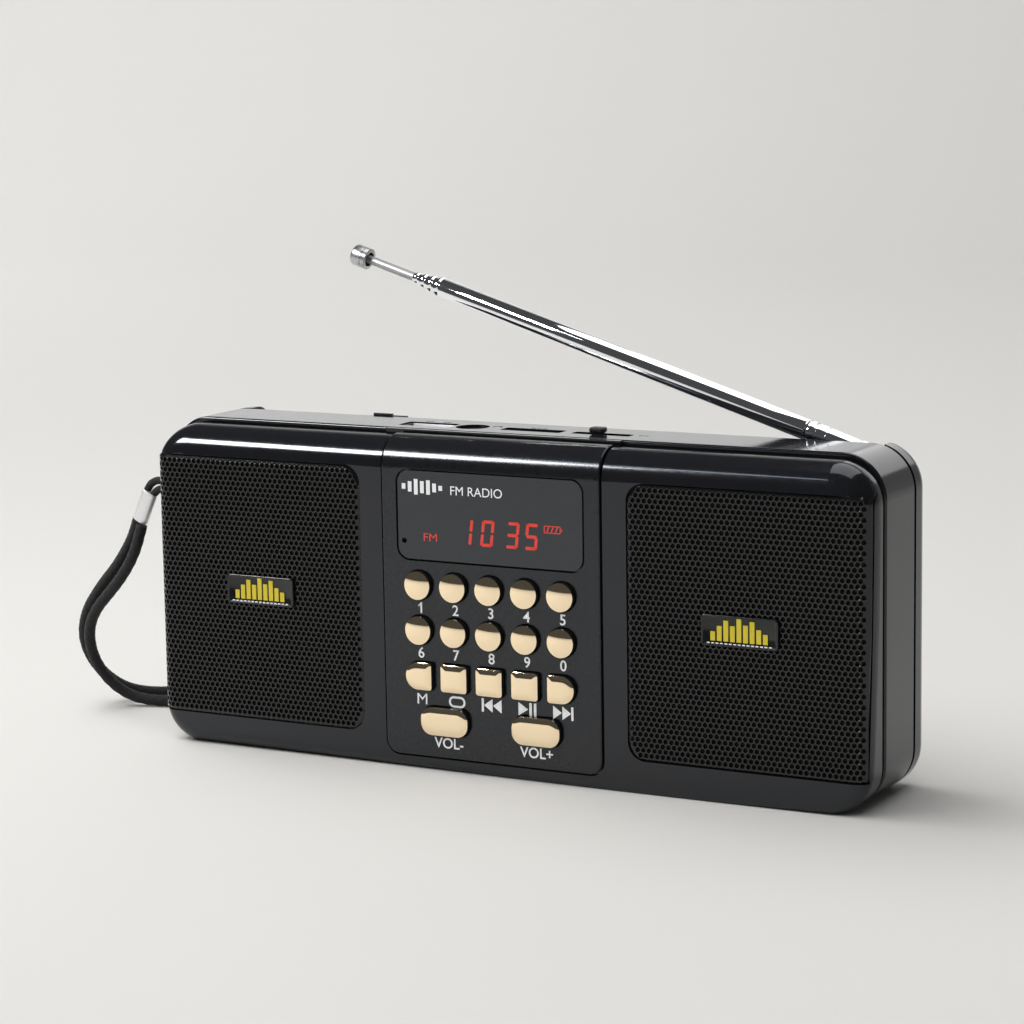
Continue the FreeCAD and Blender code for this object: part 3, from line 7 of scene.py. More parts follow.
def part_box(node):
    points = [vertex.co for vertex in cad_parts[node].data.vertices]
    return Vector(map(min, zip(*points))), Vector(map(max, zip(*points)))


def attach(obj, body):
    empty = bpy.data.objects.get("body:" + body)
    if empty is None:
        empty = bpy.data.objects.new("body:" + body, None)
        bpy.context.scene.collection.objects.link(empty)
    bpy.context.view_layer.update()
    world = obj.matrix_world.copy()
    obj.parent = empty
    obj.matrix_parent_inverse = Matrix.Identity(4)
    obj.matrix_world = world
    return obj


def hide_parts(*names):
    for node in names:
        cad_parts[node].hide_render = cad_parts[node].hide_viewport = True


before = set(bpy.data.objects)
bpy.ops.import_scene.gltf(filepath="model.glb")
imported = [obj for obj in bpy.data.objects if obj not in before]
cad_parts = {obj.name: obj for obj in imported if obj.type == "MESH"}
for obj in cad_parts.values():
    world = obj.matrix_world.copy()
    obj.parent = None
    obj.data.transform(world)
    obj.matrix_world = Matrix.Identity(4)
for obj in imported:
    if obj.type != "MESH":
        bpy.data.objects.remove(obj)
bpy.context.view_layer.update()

# Looks of a tabletop radio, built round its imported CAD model. Lengths in the tables below
# are millimetres, and MM turns them into Blender's metres.

MM = 0.001
PRINT_DEPTH = 0.03
SCENE = bpy.context.scene

CAMERA_PLACE = Vector((364.447, -676.56, 187.296)) * MM
CAMERA_YAW = math.radians(28.577)
CAMERA_PITCH = math.radians(9.109)
CAMERA_ROLL = math.radians(-0.914)
CAMERA_LENS = 109.05


# ---- materials -------------------------------------------


def finish(
    name,
    colour,
    roughness,
    metallic=0.0,
    tint=None,
    spread=0.03,
    grain=900.0,
    depth=0.01,
    stretch=(1.0, 1.0, 1.0),
    detail=3.0,
    **sockets,
):
    """A procedural surface: one noise drives its colour, its roughness and its bump."""
    made = bpy.data.materials.new(name)
    made.use_nodes = True
    nodes, links = made.node_tree.nodes, made.node_tree.links
    shader = nodes["Principled BSDF"]
    shader.inputs["Metallic"].default_value = metallic
    for socket, value in sockets.items():
        shader.inputs[socket.replace("_", " ")].default_value = value
    place = nodes.new("ShaderNodeTexCoord")
    mapping = nodes.new("ShaderNodeMapping")
    mapping.inputs["Scale"].default_value = stretch
    noise = nodes.new("ShaderNodeTexNoise")
    noise.inputs["Scale"].default_value = grain
    noise.inputs["Detail"].default_value = detail
    links.new(place.outputs["Object"], mapping.inputs["Vector"])
    links.new(mapping.outputs["Vector"], noise.inputs["Vector"])

    mix = nodes.new("ShaderNodeMix")
    mix.data_type = "RGBA"
    mix.inputs["A"].default_value = (*colour, 1.0)
    mix.inputs["B"].default_value = (*(tint or [part * 1.25 for part in colour]), 1.0)
    links.new(noise.outputs["Fac"], mix.inputs["Factor"])
    links.new(mix.outputs["Result"], shader.inputs["Base Color"])

    gloss = nodes.new("ShaderNodeMapRange")
    gloss.inputs["From Min"].default_value = 0.3
    gloss.inputs["From Max"].default_value = 0.7
    gloss.inputs["To Min"].default_value = max(0.0, roughness - spread)
    gloss.inputs["To Max"].default_value = min(1.0, roughness + spread)
    links.new(noise.outputs["Fac"], gloss.inputs["Value"])
    links.new(gloss.outputs["Result"], shader.inputs["Roughness"])

    bump = nodes.new("ShaderNodeBump")
    bump.inputs["Strength"].default_value = 1.0
    bump.inputs["Distance"].default_value = depth * MM
    links.new(noise.outputs["Fac"], bump.inputs["Height"])
    links.new(bump.outputs["Normal"], shader.inputs["Normal"])
    return made


FINISH = {
    "casing": finish(
        "gloss_black",
        (0.0105, 0.011, 0.0135),
        0.11,
        grain=700,
        depth=0.0012,
        spread=0.02,
        Specular_Tint=(0.93, 0.96, 1.0, 1.0),
    ),
    "panel": finish(
        "panel_black",
        (0.0115, 0.012, 0.0145),
        0.13,
        grain=700,
        depth=0.0012,
        spread=0.02,
        Specular_Tint=(0.93, 0.96, 1.0, 1.0),
    ),
    "grille": finish(
        "grille_lacquer",
        (0.004, 0.004, 0.004),
        0.13,
        tint=(0.008, 0.0078, 0.0076),
        grain=2200,
        depth=0.006,
        spread=0.03,
    ),
    "cloth": finish("speaker_cloth", (0.004, 0.004, 0.004), 0.95, grain=4000, depth=0.05),
    "badge": finish("badge_black", (0.008, 0.008, 0.009), 0.2, grain=1500, depth=0.003),
    "yellow": finish(
        "badge_yellow", (0.83, 0.66, 0.02), 0.3, tint=(0.9, 0.74, 0.05), grain=1200, depth=0.004
    ),
    "window": finish(
        "smoked_window",
        (0.027, 0.03, 0.037),
        0.08,
        grain=300,
        depth=0.0006,
        spread=0.02,
    ),
    "display": finish("display_body", (0.01, 0.01, 0.01), 0.4, grain=1500),
    "led": finish(
        "led_red",
        (0.5, 0.03, 0.02),
        0.35,
        tint=(0.62, 0.05, 0.03),
        grain=2500,
        Emission_Color=(0.75, 0.05, 0.032, 1.0),
        Emission_Strength=0.38,
    ),
    # White print with a faint emission: the glow is painted light that makes the print brighter
    # than the lamps alone.
    "ink_painted_glow": finish(
        "white_ink_painted_glow",
        (0.9, 0.9, 0.9),
        0.45,
        tint=(0.95, 0.95, 0.95),
        grain=3000,
        depth=0.004,
        Emission_Color=(0.9, 0.92, 0.95, 1.0),
        Emission_Strength=0.2,
    ),
    "dark_ink": finish("dark_ink", (0.012, 0.012, 0.012), 0.6, grain=3000, depth=0.004),
    "gold": finish(
        "key_gold",
        (1.0, 0.8, 0.54),
        0.055,
        metallic=1.0,
        tint=(1.0, 0.83, 0.58),
        grain=900,
        depth=0.0004,
        spread=0.02,
    ),
    "key_black": finish("key_black", (0.011, 0.011, 0.012), 0.16, grain=1200, depth=0.002),
    "board": finish(
        "circuit_board", (0.01, 0.09, 0.035), 0.4, tint=(0.02, 0.14, 0.06), grain=600
    ),
    "switch_can": finish(
        "switch_can", (0.5, 0.5, 0.5), 0.35, metallic=1.0, grain=2000, depth=0.004
    ),
    "plated_steel": finish(
        "plated_steel",
        (0.55, 0.55, 0.56),
        0.26,
        metallic=1.0,
        grain=1500,
        depth=0.003,
        stretch=(1.0, 4.0, 1.0),
    ),
    "black_plastic": finish(
        "matte_black_plastic", (0.014, 0.014, 0.015), 0.42, grain=2500, depth=0.012
    ),
    "speaker_frame": finish(
        "stamped_frame", (0.2, 0.2, 0.2), 0.4, metallic=1.0, grain=1200, depth=0.005
    ),
    "speaker_cone": finish(
        "paper_cone", (0.012, 0.012, 0.012), 0.85, grain=2500, depth=0.04, detail=6
    ),
    "magnet": finish("ferrite", (0.05, 0.05, 0.052), 0.6, grain=1800, depth=0.02),
    "battery": finish(
        "battery_sleeve", (0.05, 0.1, 0.3), 0.35, tint=(0.07, 0.13, 0.36), grain=500
    ),
    "antenna_chrome": finish(
        "chrome",
        (0.86, 0.87, 0.9),
        0.045,
        metallic=1.0,
        tint=(0.9, 0.91, 0.94),
        grain=700,
        depth=0.0006,
        spread=0.015,
    ),
    "brushed": finish(
        "brushed_metal",
        (0.42, 0.42, 0.43),
        0.3,
        metallic=1.0,
        tint=(0.6, 0.6, 0.61),
        grain=3000,
        depth=0.006,
        spread=0.08,
    ),
    "matte_steel": finish(
        "matte_steel",
        (0.4, 0.4, 0.405),
        0.5,
        metallic=1.0,
        tint=(0.46, 0.46, 0.465),
        grain=3000,
        depth=0.003,
    ),
    "socket_metal": finish(
        "socket_metal", (0.2, 0.2, 0.205), 0.45, metallic=1.0, grain=1500, depth=0.003
    ),
    "cord": finish(
        "woven_cord",
        (0.0035, 0.0035, 0.004),
        0.8,
        tint=(0.009, 0.009, 0.01),
        grain=5200,
        depth=0.12,
        detail=6,
        Sheen_Weight=0.1,
        Sheen_Roughness=0.4,
    ),
    "ferrule": finish(
        "satin_ferrule",
        (0.86, 0.86, 0.87),
        0.36,
        metallic=0.6,
        tint=(0.9, 0.9, 0.91),
        grain=500,
        depth=0.001,
    ),
    "contact": finish(
        "contact_gold", (0.95, 0.7, 0.3), 0.25, metallic=1.0, grain=1500, depth=0.002
    ),
}
FINISH["key"] = FINISH["key_black"]


# ---- mesh helpers ----------------------------------------


def middle_of(node):
    low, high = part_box(node)
    return (low + high) / 2 / MM


def half_size(node):
    low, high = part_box(node)
    return (high - low) / 2 / MM


def piece(name, verts, faces, finishes, body, smooth=True, indices=None):
    """A mesh from points in metres, with its materials, riding on a CAD body."""
    mesh = bpy.data.meshes.new(name)
    mesh.from_pydata([tuple(point) for point in verts], [], faces)
    mesh.polygons.foreach_set("use_smooth", [smooth] * len(mesh.polygons))
    for key in finishes:
        mesh.materials.append(FINISH[key])
    if indices:
        mesh.polygons.foreach_set("material_index", indices)
    mesh.update()
    made = bpy.data.objects.new(name, mesh)
    SCENE.collection.objects.link(made)
    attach(made, body)
    return made


def soften(made, angle=40.0):
    """Smooth shading that still breaks at edges sharper than the angle in degrees."""
    made.data.set_sharp_from_angle(angle=math.radians(angle))


def loft(rings, cap_first=True, cap_last=True, first=0):
    """Faces that join rings with the same number of points, in the rings' order."""
    count = len(rings[0])
    faces = []
    for row in range(len(rings) - 1):
        low = first + row * count
        high = low + count
        for step in range(count):
            after = (step + 1) % count
            faces.append((low + step, low + after, high + after, high + step))
    if cap_first:
        faces.append(tuple(first + step for step in reversed(range(count))))
    if cap_last:
        last = first + (len(rings) - 1) * count
        faces.append(tuple(last + step for step in range(count)))
    return faces


def joined(rings):
    return [point for ring in rings for point in ring]


def rounded_outline(half_width, half_height, radius, steps=8, left_radius=None):
    """Points round a rectangle with rounded corners, anticlockwise from its right side."""
    right_radius = min(radius, half_width, half_height)
    left_radius = min(left_radius or radius, half_width, half_height)
    points = []
    for corner, (across, up) in enumerate(((1, 1), (-1, 1), (-1, -1), (1, -1))):
        radius = right_radius if across > 0 else left_radius
        centre_x = across * (half_width - radius)
        centre_z = up * (half_height - radius)
        for step in range(steps + 1):
            angle = math.pi / 2 * (corner + step / steps)
            points.append(
                (centre_x + radius * math.cos(angle), centre_z + radius * math.sin(angle))
            )
    return points


def bar(x, z, wide, tall):
    return [
        (x - wide / 2, z - tall / 2),
        (x + wide / 2, z - tall / 2),
        (x + wide / 2, z + tall / 2),
        (x - wide / 2, z + tall / 2),
    ]


def on_front(outline, x, y, z):
    """An outline in the XZ plane, moved to a place and turned into metres."""
    return [Vector((x + across, y, z + up)) * MM for across, up in outline]


def stepped_block(name, centre, sizes, steps, finishes, body, indices=None):
    """A rounded block on the front: each step is (inset, y), from the back to the face."""
    x, z = centre
    half_width, half_height, right_radius, left_radius = sizes
    rings = []
    for inset, y in steps:
        outline = rounded_outline(
            half_width - inset,
            half_height - inset,
            max(right_radius - inset, 0.12),
            left_radius=max(left_radius - inset, 0.12),
        )
        rings.append(on_front(outline, x, y, z))
    return piece(name, joined(rings), loft(rings), finishes, body, indices=indices)


def flat_shapes(name, shapes, y, key, thickness=PRINT_DEPTH):
    """Thin plates with convex outlines on the front, such as printed marks."""
    verts = []
    faces = []
    for shape in shapes:
        first = len(verts)
        verts += on_front(shape, 0, y, 0) + on_front(shape, 0, y - thickness, 0)
        faces += loft([shape, shape], first=first, cap_first=False)
    return piece(name, verts, faces, [key], "radio", smooth=False)


def lathe_rings(profile, origin, axis, side, count=32):
    """Rings of points round an axis: the profile is (distance along it, radius) in mm.

    A third number leans the ring, by that much at its lowest and highest points."""
    across = axis.cross(side)
    rings = []
    for along, radius, *lean in profile:
        ring = []
        for step in range(count):
            angle = 2 * math.pi * step / count
            reach = side * math.cos(angle) + across * math.sin(angle)
            shift = lean[0] * math.sin(angle) if lean else 0.0
            ring.append((origin + axis * (along + shift) + reach * radius) * MM)
        rings.append(ring)
    return rings


# ---- casing ----------------------------------------------


def dress_cad_nodes():
    """Every CAD node keeps its shape and takes the procedural material of its slot."""
    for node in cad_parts.values():
        for holder in node.material_slots:
            holder.material = FINISH[holder.material.name]


# ---- speaker grilles -------------------------------------

HOLE_PITCH = 1.5
HOLE_ROWS = 1.3
HOLE_RADIUS = 0.63
HOLE_EASE = 0.07
HOLE_MARGIN = 0.12
FIRST_HOLE = 0.25
ROLLED_BAND = 2.2
RIM_STEP = 1.0
RIM_DEPTH = 0.1
SHEET = 0.4
ROLL = 0.62
CLOTH_DEPTH = 0.56
CLOTH_INSET = 0.7
GRILLE_CORNER = 4.5
SIDE_RADIUS = 4.0


class GrilleForm:
    """The sheet's outline, laid flat, and how a point on it lies on the casing.

    u runs outwards from the sheet's inner edge, then round the casing's side edge."""

    def __init__(self, side):
        low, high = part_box(side + "_grille")
        shell_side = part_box("front_shell")[1].x / MM
        self.sign = 1 if side == "right" else -1
        reach = [abs(low.x) / MM, abs(high.x) / MM]
        self.inner = min(reach)
        self.front = low.y / MM
        self.low = low.z / MM
        self.high = high.z / MM
        self.bend = shell_side - SIDE_RADIUS
        self.flat = self.bend - self.inner
        turn = math.asin((max(reach) - self.bend) / SIDE_RADIUS)
        self.width = self.flat + SIDE_RADIUS * turn

    def edge_distance(self, u, v):
        """How far a point is from the inner, top or bottom edge."""
        aside = u
        above = min(v - self.low, self.high - v)
        if aside < GRILLE_CORNER and above < GRILLE_CORNER:
            return GRILLE_CORNER - math.hypot(GRILLE_CORNER - aside, GRILLE_CORNER - above)
        return min(aside, above)

    def place(self, u, v, depth):
        distance = max(self.edge_distance(u, v), 0.0)
        if distance < ROLL:
            depth += ROLL - math.sqrt(ROLL**2 - (ROLL - distance) ** 2)
        if u <= self.flat:
            x, y = self.inner + u, self.front + depth
        else:
            angle = (u - self.flat) / SIDE_RADIUS
            x = self.bend + (SIDE_RADIUS - depth) * math.sin(angle)
            y = self.front + SIDE_RADIUS - (SIDE_RADIUS - depth) * math.cos(angle)
        return Vector((self.sign * x, y, v)) * MM

    def outline(self):
        points = [(self.width, self.low), (self.width, self.high)]
        for centre_v, start in (
            (self.high - GRILLE_CORNER, 0.5),
            (self.low + GRILLE_CORNER, 1.0),
        ):
            for step in range(9):
                angle = math.pi * (start + 0.5 * step / 8)
                points.append(
                    (
                        GRILLE_CORNER * (1 + math.cos(angle)),
                        centre_v + GRILLE_CORNER * math.sin(angle),
                    )
                )
        return points


def clipped(shape, outline):
    """The part of a convex shape inside a convex outline, both anticlockwise."""
    for (ax, ay), (bx, by) in zip(outline, outline[1:] + outline[:1]):
        kept = []
        for (px, py), (qx, qy) in zip(shape, shape[1:] + shape[:1]):
            inside_p = (bx - ax) * (py - ay) - (by - ay) * (px - ax)
            inside_q = (bx - ax) * (qy - ay) - (by - ay) * (qx - ax)
            if inside_p >= 0:
                kept.append((px, py))
            if inside_p * inside_q < 0:
                share = inside_p / (inside_p - inside_q)
                kept.append((px + share * (qx - px), py + share * (qy - py)))
        shape = kept
        if len(shape) < 3:
            return []
    return shape


def reach_of(shape, u, v, angle):
    """How far the edge of a convex shape is from a point inside it, along an angle."""
    across, up = math.cos(angle), math.sin(angle)
    best = None
    for (ax, ay), (bx, by) in zip(shape, shape[1:] + shape[:1]):
        fall = across * (by - ay) - up * (bx - ax)
        if abs(fall) < 1e-12:
            continue
        distance = ((ax - u) * (by - ay) - (ay - v) * (bx - ax)) / fall
        if distance > 0 and (best is None or distance < best):
            best = distance
    return best


class Sheet:
    """The grille's mesh while it grows: points are shared where cells meet."""

    def __init__(self, form):
        self.form = form
        self.verts = []
        self.faces = []
        self.known = {}

    def point(self, u, v, depth, layer):
        key = (round(u, 4), round(v, 4), layer)
        if key not in self.known:
            self.known[key] = len(self.verts)
            self.verts.append(self.form.place(u, v, depth))
        return self.known[key]

    def face(self, corners):
        if self.form.sign < 0:
            corners = corners[::-1]
        self.faces.append(tuple(corners))

    def ring(self, u, v, angles, distances, depth, layer):
        points = []
        for angle, distance in zip(angles, distances):
            across, up = distance * math.cos(angle), distance * math.sin(angle)
            points.append(self.point(u + across, v + up, depth, layer))
        return points

    def cell_with_hole(self, shape, u, v, angles, rings):
        """A cell's plate from its hole to its outline, and the hole's wall."""
        reaches = [reach_of(shape, u, v, angle) for angle in angles]
        loops = []
        for number in range(rings + 1):
            share = number / rings
            distances = [HOLE_RADIUS + (reach - HOLE_RADIUS) * share for reach in reaches]
            loops.append(self.ring(u, v, angles, distances, 0, 0))
        rim = [loops[0]]
        for depth, layer in ((HOLE_EASE, 1), (SHEET, 2)):
            distances = [HOLE_RADIUS - HOLE_EASE] * len(angles)
            rim.append(self.ring(u, v, angles, distances, depth, layer))
        count = len(angles)
        bands = list(zip(loops, loops[1:])) + [(rim[1], rim[0]), (rim[2], rim[1])]
        for inner, outer in bands:
            for step in range(count):
                after = (step + 1) % count
                self.face([inner[step], outer[step], outer[after], inner[after]])


def hexagon(u, v):
    """A cell that leans on its neighbours in rows a little closer than a true hexagon's."""
    half = HOLE_PITCH / 2
    tall = HOLE_ROWS * 2 / 3
    points = []
    for step in range(6):
        angle = math.pi / 3 * step + math.pi / 6
        across = half / math.cos(math.pi / 6) * math.cos(angle)
        points.append((u + across, v + tall * math.sin(angle)))
    return points


def perforated_sheet(side):
    form = GrilleForm(side)
    sheet = Sheet(form)
    outline = form.outline()
    base = [math.atan2(q, p) for p, q in hexagon(0, 0)]
    base += [angle + math.pi / 6 for angle in base]
    rows = int((form.high - form.low) / HOLE_ROWS) + 2
    columns = int(form.width / HOLE_PITCH) + 2
    start = (form.low + form.high) / 2 - HOLE_ROWS * (rows // 2)
    for row in range(rows + 1):
        for column in range(columns + 1):
            u = (column + 0.5 * (row % 2)) * HOLE_PITCH + FIRST_HOLE
            v = start + row * HOLE_ROWS
            distance = min(form.edge_distance(u, v), form.width - u)
            if distance < -HOLE_PITCH:
                continue
            shape = hexagon(u, v)
            if distance < HOLE_PITCH:
                shape = clipped(shape, outline)
            if not shape:
                continue
            if distance < HOLE_RADIUS + HOLE_MARGIN:
                sheet.face([sheet.point(p, q, 0, 0) for p, q in shape])
                continue
            corners = [math.atan2(q - v, p - u) for p, q in shape]
            angles = sorted({round(a % (2 * math.pi), 5) for a in base + corners})
            rings = 3 if distance < ROLLED_BAND else 1
            sheet.cell_with_hole(shape, u, v, angles, rings)
    return form, sheet


def add_rim(form, sheet):
    """The sheet's cut edge, from its rolled face down to its seat."""
    points = []
    corners = form.outline()
    for (ax, ay), (bx, by) in zip(corners, corners[1:] + corners[:1]):
        count = max(1, round(math.hypot(bx - ax, by - ay) / RIM_STEP))
        for step in range(count):
            share = step / count
            points.append((ax + share * (bx - ax), ay + share * (by - ay)))
    front = [sheet.point(u, v, 0, 3) for u, v in points]
    outer = form.width - 0.01
    back = [sheet.point(u, v, RIM_DEPTH if u < outer else SHEET, 4) for u, v in points]
    count = len(points)
    for step in range(count):
        after = (step + 1) % count
        sheet.face([front[step], back[step], back[after], front[after]])


def speaker_cloth(side, form):
    """The dull cloth behind the holes."""
    sheet = Sheet(form)
    columns = 48
    inset = CLOTH_INSET
    for step in range(columns):
        edges = []
        for share in (step / columns, (step + 1) / columns):
            u = inset + (form.width - inset) * share
            edge = min(u, GRILLE_CORNER)
            cut = GRILLE_CORNER - math.sqrt(GRILLE_CORNER**2 - (GRILLE_CORNER - edge) ** 2)
            edges.append((u, form.low + inset + cut, form.high - inset - cut))
        (u0, low0, high0), (u1, low1, high1) = edges
        corners = [(u0, low0), (u1, low1), (u1, high1), (u0, high0)]
        sheet.face([sheet.point(u, v, CLOTH_DEPTH, 0) for u, v in corners])
    piece(side + "_speaker_cloth", sheet.verts, sheet.faces, ["cloth"], "radio")


def make_grille(side):
    form, sheet = perforated_sheet(side)
    add_rim(form, sheet)
    made = piece(
        side + "_grille_sheet", sheet.verts, sheet.faces, ["grille"], "radio"
    )
    soften(made)
    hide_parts(side + "_grille")
    speaker_cloth(side, form)


# ---- badges ----------------------------------------------

BADGE_BARS = (2.2, 3.6, 5.0, 3.8, 5.6, 4.2, 5.2, 3.4, 2.4)
BADGE_BAR_PITCH = 1.7
BADGE_BAR_FOOT = 2.4
BADGE_FIELD = 0.1
BADGE_CORNER = 0.9
DASHES = 15
DASH_PITCH = 1.15


def make_badge(side):
    """A black plate with a plain row of yellow level bars over a dashed line."""
    middle, half = middle_of(side + "_badge"), half_size(side + "_badge")
    back, front = middle.y + half.y, middle.y - half.y
    field = front + BADGE_FIELD
    steps = [
        (0, back),
        (0, front + 0.22),
        (0.06, front + 0.07),
        (0.22, front),
        (0.5, front),
        (0.58, field),
    ]
    plate = stepped_block(
        side + "_badge_plate",
        (middle.x, middle.z),
        (half.x, half.z, BADGE_CORNER, BADGE_CORNER),
        steps,
        ["badge"],
        "radio",
    )
    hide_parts(side + "_badge")
    bars = []
    for number, tall in enumerate(BADGE_BARS):
        x = middle.x + (number - (len(BADGE_BARS) - 1) / 2) * BADGE_BAR_PITCH
        bars.append(bar(x, middle.z - BADGE_BAR_FOOT + tall / 2, 1.2, tall))
    flat_shapes(side + "_badge_bars", bars, field, "yellow", thickness=0.22)
    dashes = []
    for number in range(DASHES):
        x = middle.x + (number - (DASHES - 1) / 2) * DASH_PITCH
        dashes.append(bar(x, middle.z - 2.99, 0.72, 0.26))
    flat_shapes(side + "_badge_line", dashes, field, "ink_painted_glow", thickness=0.08)


# ---- keys ------------------------------------------------

ROUND_KEYS = [f"key_{digit}" for digit in range(10)]
SQUARE_KEYS = ("key_repeat", "key_previous", "key_play")
WIDE_KEYS = ("key_volume_down", "key_volume_up")
KEY_FLANGE = 0.6
SKIRT_DEPTH = 4.0
CAP_LEDGE = 0.06
CAP_RINGS = 14
CAP_DOME = 0.5
CAP_POWER = 4.2
SQUARE_CORNER = 0.8
ROUND_END = 3.45


def make_key(node, radius, dome, power, left_radius=None):
    """A black skirt under a domed gold cap."""
    middle, half = middle_of(node), half_size(node)
    half_width = half.x - KEY_FLANGE
    half_height = half.z - KEY_FLANGE
    front = middle.y - half.y
    reach = min(half_width, half_height)
    rim = front + dome - CAP_LEDGE
    steps = [(0.0, front + SKIRT_DEPTH), (0.0, rim + 0.28), (0.05, rim + 0.1)]
    skirt = len(steps)
    for ring in range(CAP_RINGS + 1):
        inset = CAP_LEDGE + (reach - 0.1) * ring / CAP_RINGS
        lift = dome * (1 - (1 - inset / reach) ** power)
        steps.append((inset, rim - lift))
    corners = len(rounded_outline(1, 1, 1))
    indices = [0] * (corners * (skirt - 1)) + [1] * (corners * (CAP_RINGS + 1)) + [0, 1]
    made = stepped_block(
        node + "_cap",
        (middle.x, middle.z),
        (half_width, half_height, radius, left_radius or radius),
        steps,
        ["key_black", "gold"],
        node,
        indices=indices,
    )
    soften(made, 50)
    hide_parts(node)


def make_keys():
    for node in ROUND_KEYS:
        make_key(node, 3.65, 0.48, 2.0)
    for node in SQUARE_KEYS:
        make_key(node, SQUARE_CORNER, CAP_DOME, CAP_POWER)
    make_key("key_mode", SQUARE_CORNER, CAP_DOME, CAP_POWER, left_radius=ROUND_END)
    make_key("key_next", ROUND_END, CAP_DOME, CAP_POWER, left_radius=SQUARE_CORNER)
    for node in WIDE_KEYS:
        make_key(node, 3.1, CAP_DOME, CAP_POWER)


# ---- printing and display --------------------------------


CAPITAL_SHARE = 0.729
MARK_DROP = 6.0
MARK_TALL = 3.4
MARK_SHIFT = 0.2
FIGURE_DROP = 5.75
FIGURE_TALL = 2.75


def lettering(name, text, tall, x, z, y, weight=0.0, width=1.0):
    """Printed text on the front, its capital height in mm, centred on (x, z)."""
    curve = bpy.data.curves.new(name, "FONT")
    curve.body = text
    curve.align_x = "CENTER"
    curve.align_y = "CENTER"
    curve.size = tall / CAPITAL_SHARE
    curve.offset = weight
    holder = bpy.data.objects.new(name, curve)
    mesh = bpy.data.meshes.new_from_object(holder)
    bpy.data.objects.remove(holder)
    xs = [vert.co.x for vert in mesh.vertices]
    ys = [vert.co.y for vert in mesh.vertices]
    middle_x = (min(xs) + max(xs)) / 2
    middle_y = (min(ys) + max(ys)) / 2
    for vert in mesh.vertices:
        across = (vert.co.x - middle_x) * width
        vert.co = Vector((x + across, y - PRINT_DEPTH, z + vert.co.y - middle_y)) * MM
    mesh.materials.clear()
    # The print's finish also glows faintly: painted light on the ink.
    mesh.materials.append(FINISH["ink_painted_glow"])
    made = bpy.data.objects.new(name, mesh)
    SCENE.collection.objects.link(made)
    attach(made, "radio")
    return made


def triangle(x, z, half, tall, way):
    corners = [(x - way * half, z - tall / 2), (x + way * half, z), (x - way * half, z + tall / 2)]
    return corners if way > 0 else corners[::-1]


def under_key(node, drop=MARK_DROP):
    """The middle of the mark printed under a key."""
    middle = middle_of(node)
    return middle.x, middle.z - drop


def outline_loop(x, z, half_width, half_height, radius, stroke):
    """A line that runs round a rounded rectangle, cut into short plates."""
    outer = rounded_outline(half_width, half_height, radius)
    inner = rounded_outline(half_width - stroke, half_height - stroke, radius - stroke)
    plates = []
    for step in range(len(outer)):
        after = (step + 1) % len(outer)
        corners = [inner[step], outer[step], outer[after], inner[after]]
        plates.append([(x + across, z + up) for across, up in corners])
    return plates


def one_shapes(x, z):
    """A figure one with a flag, as two plates."""
    flag = [(x - 0.62, z + 0.62), (x - 0.62, z + 0.26), (x + 0.02, z + 0.76), (x + 0.02, z + 1.2)]
    return [bar(x + 0.2, z, 0.46, FIGURE_TALL), flag]


def print_key_marks():
    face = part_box("control_panel")[0].y / MM
    tall = MARK_TALL
    for node in ROUND_KEYS:
        x, z = under_key(node, FIGURE_DROP)
        x += MARK_SHIFT
        if node == "key_1":
            flat_shapes("key_1_label", one_shapes(x, z), face, "ink_painted_glow")
        else:
            lettering(node + "_label", node[-1], FIGURE_TALL, x, z, face, 0.045)
    x, z = under_key("key_mode")
    lettering("mode_label", "M", 2.9, x + MARK_SHIFT, z, face, width=1.12)
    x, z = under_key("key_repeat")
    marks = {"repeat": outline_loop(x + MARK_SHIFT, z, 2.35, 1.45, 1.4, 0.55)}
    x, z = under_key("key_previous")
    arrows = [triangle(x - 0.95, z, 1.2, tall, -1), triangle(x + 1.6, z, 1.2, tall, -1)]
    marks["previous"] = [bar(x - 2.5, z, 0.6, tall)] + arrows
    x, z = under_key("key_play")
    pause = [bar(x + 0.95, z, 0.7, tall), bar(x + 2.2, z, 0.7, tall)]
    marks["play"] = [triangle(x - 1.1, z, 1.35, tall, 1)] + pause
    x, z = under_key("key_next")
    arrows = [triangle(x - 1.6, z, 1.2, tall, 1), triangle(x + 0.95, z, 1.2, tall, 1)]
    marks["next"] = arrows + [bar(x + 2.5, z, 0.6, tall)]
    for name, shapes in marks.items():
        flat_shapes(name + "_label", shapes, face, "ink_painted_glow")
    for node, text, shift in (("down", "VOL-", 0.5), ("up", "VOL+", -0.5)):
        x, z = under_key("key_volume_" + node, 5.6)
        lettering(f"volume_{node}_label", text, 2.7, x + shift, z, face, 0.05)


SEGMENTS = {"0": "abcdef", "1": "bc", "3": "abcdg", "5": "acdfg"}
DIGIT_WIDE = 3.5
DIGIT_TALL = 6.6
DIGIT_STROKE = 0.8
DIGIT_SLANT = 0.12
SEGMENT_GAP = 0.12


def pointed_bar(half_long):
    """A level bar with blunt points at its ends, round the origin."""
    point = DIGIT_STROKE / 2
    nose = half_long + point * 0.6
    return [
        (-half_long, -point),
        (half_long, -point),
        (nose, 0.0),
        (half_long, point),
        (-half_long, point),
        (-nose, 0.0),
    ]


